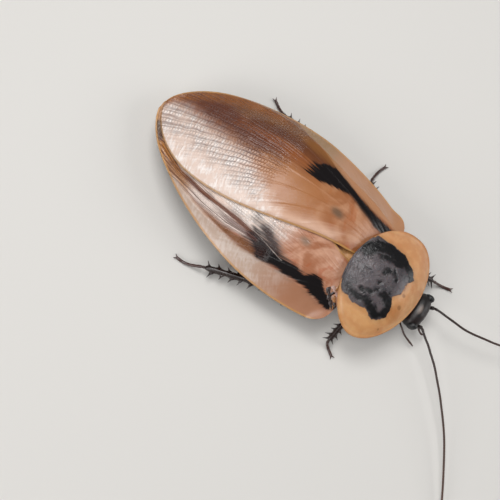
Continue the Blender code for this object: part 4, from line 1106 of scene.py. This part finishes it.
def sleeve(start, end, radii, steps=9):
    """A short limb from one point to the other through rounded radii."""
    share = np.linspace(0.0, 1.0, steps)[:, None]
    line = np.array(start) * (1 - share) + np.array(end) * share
    return limb(line, np.interp(share[:, 0], np.linspace(0.0, 1.0, len(radii)), radii), 20)


def joined(parts):
    """Several lots of points and faces as one."""
    points, faces, offset = [], [], 0
    for some, theirs in parts:
        points.append(np.asarray(some))
        faces += [tuple(v + offset for v in face) for face in theirs]
        offset += len(some)
    return np.concatenate(points), faces


def way_to(start, end):
    """Direction from one point to another, one millimetre long."""
    return (end - start) / np.linalg.norm(end - start)


def leg_joints():
    parts = []
    for hip, trochanter, knee, ankle, foot, femur_cut, tibia_cut, thick in LEGS.values():
        hip, trochanter, knee, ankle, foot = map(np.array, (hip, trochanter, knee, ankle, foot))
        upper, thigh = way_to(hip, trochanter), way_to(trochanter, knee)
        shin, toe = way_to(knee, ankle), way_to(ankle, foot)
        parts.append(sleeve(trochanter - upper * 0.5, trochanter + thigh * (femur_cut + 0.45),
                            [0.3, 0.55 * thick, 0.62 * thick, 0.6 * thick, 0.35]))
        parts.append(sleeve(knee - thigh * 0.5, knee + shin * (tibia_cut + 0.4),
                            [0.3, 0.55 * thick, 0.58 * thick, 0.5 * thick, 0.3]))
        parts.append(sleeve(ankle - shin * 0.5, ankle + toe * 0.8, [0.2, 0.36, 0.34, 0.25]))
    parts.append(sleeve(*NECK, NECK_RADII))
    for root, inside in PALP_ROOTS:
        parts.append(sleeve(inside, root, [0.5, 0.45, 0.34, 0.26]))
    points, faces = joined(parts)
    return piece("joint_skin", points, faces)


def bristles():
    """Short stiff bristles on thighs, shins and feet, thicker than real so that they show."""
    chance = random.Random(41)
    parts = []
    for hip, trochanter, knee, ankle, foot, femur_cut, tibia_cut, thick in LEGS.values():
        spans = [(trochanter, knee, 0.9 * thick, 34, femur_cut),
                 (knee, ankle, 0.62 * thick, 60, 0.8)]
        for start, end, radius, count, skip in spans:
            start, end = Vector(start), Vector(end)
            along = (end - start).normalized()
            across = along.orthogonal().normalized()
            first = (skip + 0.6) / (end - start).length
            for _ in range(count):
                share = chance.uniform(first, 0.92)
                turn = Matrix.Rotation(chance.uniform(0, 2 * math.pi), 3, along)
                side = turn @ across
                way = (side + along * chance.uniform(0.6, 1.3)).normalized()
                root = start.lerp(end, share) + side * radius * 0.8
                tip = root + way * (chance.uniform(*BRISTLE_LENGTH) + 0.2 * radius)
                other = way.orthogonal().normalized() * BRISTLE_RADIUS
                ring = [root + Matrix.Rotation(k * 2 * math.pi / 3, 3, way) @ other
                        for k in range(3)]
                parts.append(([tuple(p) for p in ring + [tip]],
                              [(0, 1, 3), (1, 2, 3), (2, 0, 3), (0, 2, 1)]))
    points, faces = joined(parts)
    return piece("leg_bristles", points, faces)


joint_piece, bristle_piece = leg_joints(), bristles()
print("faces of joints and bristles", len(joint_piece.data.polygons),
      len(bristle_piece.data.polygons))

# %% [markdown]
# Between the two wing bases, just behind the shield, lies a small three-sided plate, the
# scutellum. It is amber like the shield, and its sunken rear corner turns purple brown.

# %% Scutellum
SCUTELLUM_Y = (1.6, 12.0)
SCUTELLUM_DARK_Y = 8.4
SCUTELLUM_GRID = (60, 31)
SCUTELLUM_SHEET = 0.2


def scutellum():
    y = np.linspace(*SCUTELLUM_Y, SCUTELLUM_GRID[0])[:, None]
    middle = 0.5 * (suture_x(y, WINGS["left"]) - suture_x(y, WINGS["right"]))
    half = 2.3 - 0.12 * (y - SCUTELLUM_Y[0])
    across = np.linspace(-1.0, 1.0, SCUTELLUM_GRID[1])[None, :]
    x = middle + half * across
    y = y + 0.0 * x
    z = roof(x, y) - 0.5 - 1.15 * ease((y - 4.0) / 4.5) - 0.12 * across ** 2
    points = np.stack([x, y, z], -1)
    made = piece("scutellum", points, grid_faces(*SCUTELLUM_GRID),
                 thickness=SCUTELLUM_SHEET)
    store(made, {"rear": y - SCUTELLUM_DARK_Y})
    return made


def scutellum_horn():
    """The shield's horn, thinner and pinker, with a dark sunken corner."""
    material, node, shader = finish("scutellum_horn", Roughness=0.4, IOR=1.54)
    where = node("TexCoord", out="Object")
    rear = node("Attribute", out="Fac", attribute_name="rear")
    cloud = node("TexNoise", Vector=where, Scale=900.0, Detail=4.0)
    horn = node("Mix", Factor=cloud, A=linear("#b0713f"), B=linear("#dba768"), data_type="RGBA")
    dark = node("MapRange", Value=rear, From_Min=-0.6, From_Max=0.9, **SMOOTH)
    colour = node("Mix", Factor=dark, A=horn, B=linear("#8a5449"), data_type="RGBA")
    bump = node("Bump", Height=cloud, Strength=0.5, Distance=0.0001)
    feed(shader, Base_Color=colour, Normal=bump)
    return material


scutellum_piece = scutellum()
scutellum_piece.data.materials.append(scutellum_horn())
print("faces in the scutellum", len(scutellum_piece.data.polygons))

# %% [markdown]
# At the root of the right fore wing small hard plates of the wing hinge lie open, from pinkish
# white to amber and nearly black. They are flat ragged lumps: middle, half sizes, turn and shade.

# %% Wing hinge plates
HINGE_GRID = (13, 20)
HINGE_HALF_HEIGHT = 0.13
HINGE_LIFT = 0.06
HINGE_PLATES = [
    ((-10.3, 4.6), (1.5, 0.6), 0.6, "dark"), ((-11.4, 3.3), (1.3, 0.55), 0.4, "dark"),
    ((-9.3, 3.9), (1.1, 0.5), 1.1, "pale"), ((-10.4, 3.2), (0.9, 0.35), -0.3, "dark"),
    ((-12.3, 2.1), (1.4, 0.5), 0.7, "dark"), ((-11.1, 2.2), (0.9, 0.6), 0.9, "amber"),
    ((-12.9, 1.2), (0.8, 0.4), 0.2, "amber"), ((-11.9, 1.2), (1.0, 0.4), 0.8, "dark"),
    ((-9.9, 2.2), (0.9, 0.5), 1.3, "pale"), ((-8.6, 3.2), (0.9, 0.35), 0.2, "amber"),
]


def hinge_plate(middle, halves, turn):
    rings, columns = HINGE_GRID
    up, around = np.meshgrid(np.linspace(0.0, np.pi, rings),
                             2 * np.pi * np.arange(columns) / columns, indexing="ij")
    ragged = 1.0 + 0.2 * np.sin(3.0 * around + 5.0 * turn) + 0.12 * np.sin(7.0 * around + middle[1])
    x = halves[0] * np.sin(up) * np.cos(around) * ragged
    y = halves[1] * np.sin(up) * np.sin(around) * ragged
    z = HINGE_LIFT + HINGE_HALF_HEIGHT * np.cos(up)
    px = middle[0] + x * math.cos(turn) - y * math.sin(turn)
    py = middle[1] + x * math.sin(turn) + y * math.cos(turn)
    points = np.stack([px, py, roof(*np.array(middle)) + z], -1).reshape(-1, 3)
    return points, [tuple(f) for f in grid_faces(rings, columns, closed=True)]


hinge_pieces = {}
for shade in ("dark", "pale", "amber"):
    points, faces = joined([hinge_plate(m, h, t) for m, h, t, s in HINGE_PLATES if s == shade])
    hinge_pieces[shade] = piece("hinge_plates_" + shade, points, faces)
print("hinge plates", len(HINGE_PLATES))

# %% [markdown]
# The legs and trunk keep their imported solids. A weld joins their facets and a subdivision rounds
# them, both as modifiers, so the solids themselves stay as they are. All their cuticle is made
# alike: two browns in cloudy drifts, finely pitted, under a thin coat of wax.

# %% Cuticle of the body


def cuticle(name, dark, light, rough, scale, coat=0.3, pits=0.3):
    """Two browns in drifts, with scale of them to the metre, and pits nine times finer."""
    material, node, shader = finish(name, IOR=1.54, Coat_Weight=coat, Coat_Roughness=0.15)
    where = node("TexCoord", out="Object")
    broad = node("TexNoise", Vector=where, Scale=scale, Detail=4.0)
    fine = node("TexNoise", Vector=where, Scale=scale * 9, Detail=3.0)
    colour = node("Mix", Factor=broad, A=linear(dark), B=linear(light), data_type="RGBA")
    worn = node("MapRange", Value=fine, To_Min=rough - 0.06, To_Max=rough + 0.1)
    bump = node("Bump", Height=fine, Strength=pits, Distance=0.00006)
    feed(shader, Base_Color=colour, Roughness=worn, Normal=bump)
    return material


def eye_cuticle():
    """Black glass-like lenses in a honeycomb, drawn at a tenth of a millimetre so that it shows."""
    material, node, shader = finish("eye_lenses", Base_Color=linear("#070708"), IOR=1.54,
                                    Coat_Weight=0.1, Coat_Roughness=0.2)
    where = node("TexCoord", out="Object")
    lens = node("TexVoronoi", Vector=where, Scale=9000.0, out="Distance")
    dome = node("Math", lens, -1.0, operation="MULTIPLY")
    bump = node("Bump", Height=dome, Strength=0.5, Distance=0.00004)
    sheen = node("MapRange", Value=lens, To_Min=0.3, To_Max=0.5)
    feed(shader, Normal=bump, Roughness=sheen)
    return material


finishes = {
    "dark_cuticle": cuticle("black_cuticle", "#140906", "#331c14", 0.27, 300, coat=0.15),
    "foot_red_brown": cuticle("foot_cuticle", "#2a120c", "#4a2418", 0.3, 400),
    "belly_plates": cuticle("belly_cuticle", "#3f1e17", "#6b3d33", 0.34, 200),
    "folded_hind_wing": cuticle("hind_wing_membrane", "#4a3527", "#6b4f3a", 0.45, 200),
    "eye_black": eye_cuticle(),
    "feeler_brown": cuticle("palp_cuticle", "#2b140d", "#4a2617", 0.35, 600),
}
slot_of = {row["node"]: row["material_slot"] for row in frame["record"]["subparts"]}
WELD = 0.005
REPLACED = {"tegmen_left", "tegmen_right", "pronotum", "head", "antenna_left", "antenna_right"}
for name, node in frame["nodes"].items():
    slot = slot_of.get(name)
    if name in REPLACED or slot not in finishes:
        continue
    node.data.materials.clear()
    node.data.materials.append(finishes[slot])
    weld = node.modifiers.new("weld", "WELD")
    weld.merge_threshold = WELD * MM
    if slot != "folded_hind_wing":
        round_off = node.modifiers.new("round", "SUBSURF")
        round_off.levels = round_off.render_levels = 2
joint_piece.data.materials.append(cuticle("joint_skin", "#21110c", "#47291f", 0.42, 500, coat=0.1))
bristle_piece.data.materials.append(finishes["foot_red_brown"])
hinge_pieces["dark"].data.materials.append(finishes["dark_cuticle"])
hinge_pieces["pale"].data.materials.append(
    cuticle("pale_hinge_plate", "#9c7468", "#c9aa9c", 0.3, 800))
hinge_pieces["amber"].data.materials.append(
    cuticle("amber_hinge_plate", "#7d4b28", "#b9824f", 0.25, 800))
print("kept nodes dressed", len(frame["nodes"]) - len(REPLACED))

# %% [markdown]
# A museum photographs such a model on pale card under soft windows. Polished chitin mirrors what
# stands over it, so the lights are placed by what each part mirrors: a window beyond the tail
# puts the pearly gleam on the rear of the wings, and a broad one on the animal's right makes the
# right brim silvery. A small one in the roof lights the spread right wing. The air between them
# is dim, which keeps the black streaks black.

# %% Studio
scene = bpy.context.scene
scene.view_settings.view_transform = "Standard"
world = bpy.data.worlds.new("studio_air")
scene.world = world
world.use_nodes = True
world.node_tree.nodes["Background"].inputs["Color"].default_value = linear("#f2f5fa")
world.node_tree.nodes["Background"].inputs["Strength"].default_value = 0.2


def softbox(name, direction, distance, size, power):
    """A square area light that looks at the animal from a direction."""
    data = bpy.data.lights.new(name, "AREA")
    data.shape = "SQUARE"
    data.size = size * MM
    data.energy = power
    lamp = bpy.data.objects.new(name, data)
    scene.collection.objects.link(lamp)
    way = Vector(direction).normalized()
    lamp.location = place(0, 20, 8) + way * distance * MM
    lamp.rotation_mode = "QUATERNION"
    lamp.rotation_quaternion = way.to_track_quat("Z", "Y")


softbox("tail_window", (0.26, 0.33, 0.91), 500, 250, 1.28)
softbox("roof_window", (-0.24, 0.2, 0.94), 500, 190, 0.42)
softbox("right_window", (-0.82, 0.28, 0.5), 560, 300, 1.1)
softbox("head_fill", (0.45, -0.75, 0.55), 600, 360, 1.1)

FLOOR_HALF = 3.0
corners = [(x * FLOOR_HALF, y * FLOOR_HALF, 0) for x, y in ((-1, -1), (1, -1), (1, 1), (-1, 1))]
mesh = bpy.data.meshes.new("floor")
mesh.from_pydata(corners, [], [(0, 1, 2, 3)])
floor = bpy.data.objects.new("floor", mesh)
scene.collection.objects.link(floor)
paint, _, _ = finish("floor_card", Base_Color=linear("#d9d6d1"), Roughness=0.8)
floor.data.materials.append(paint)
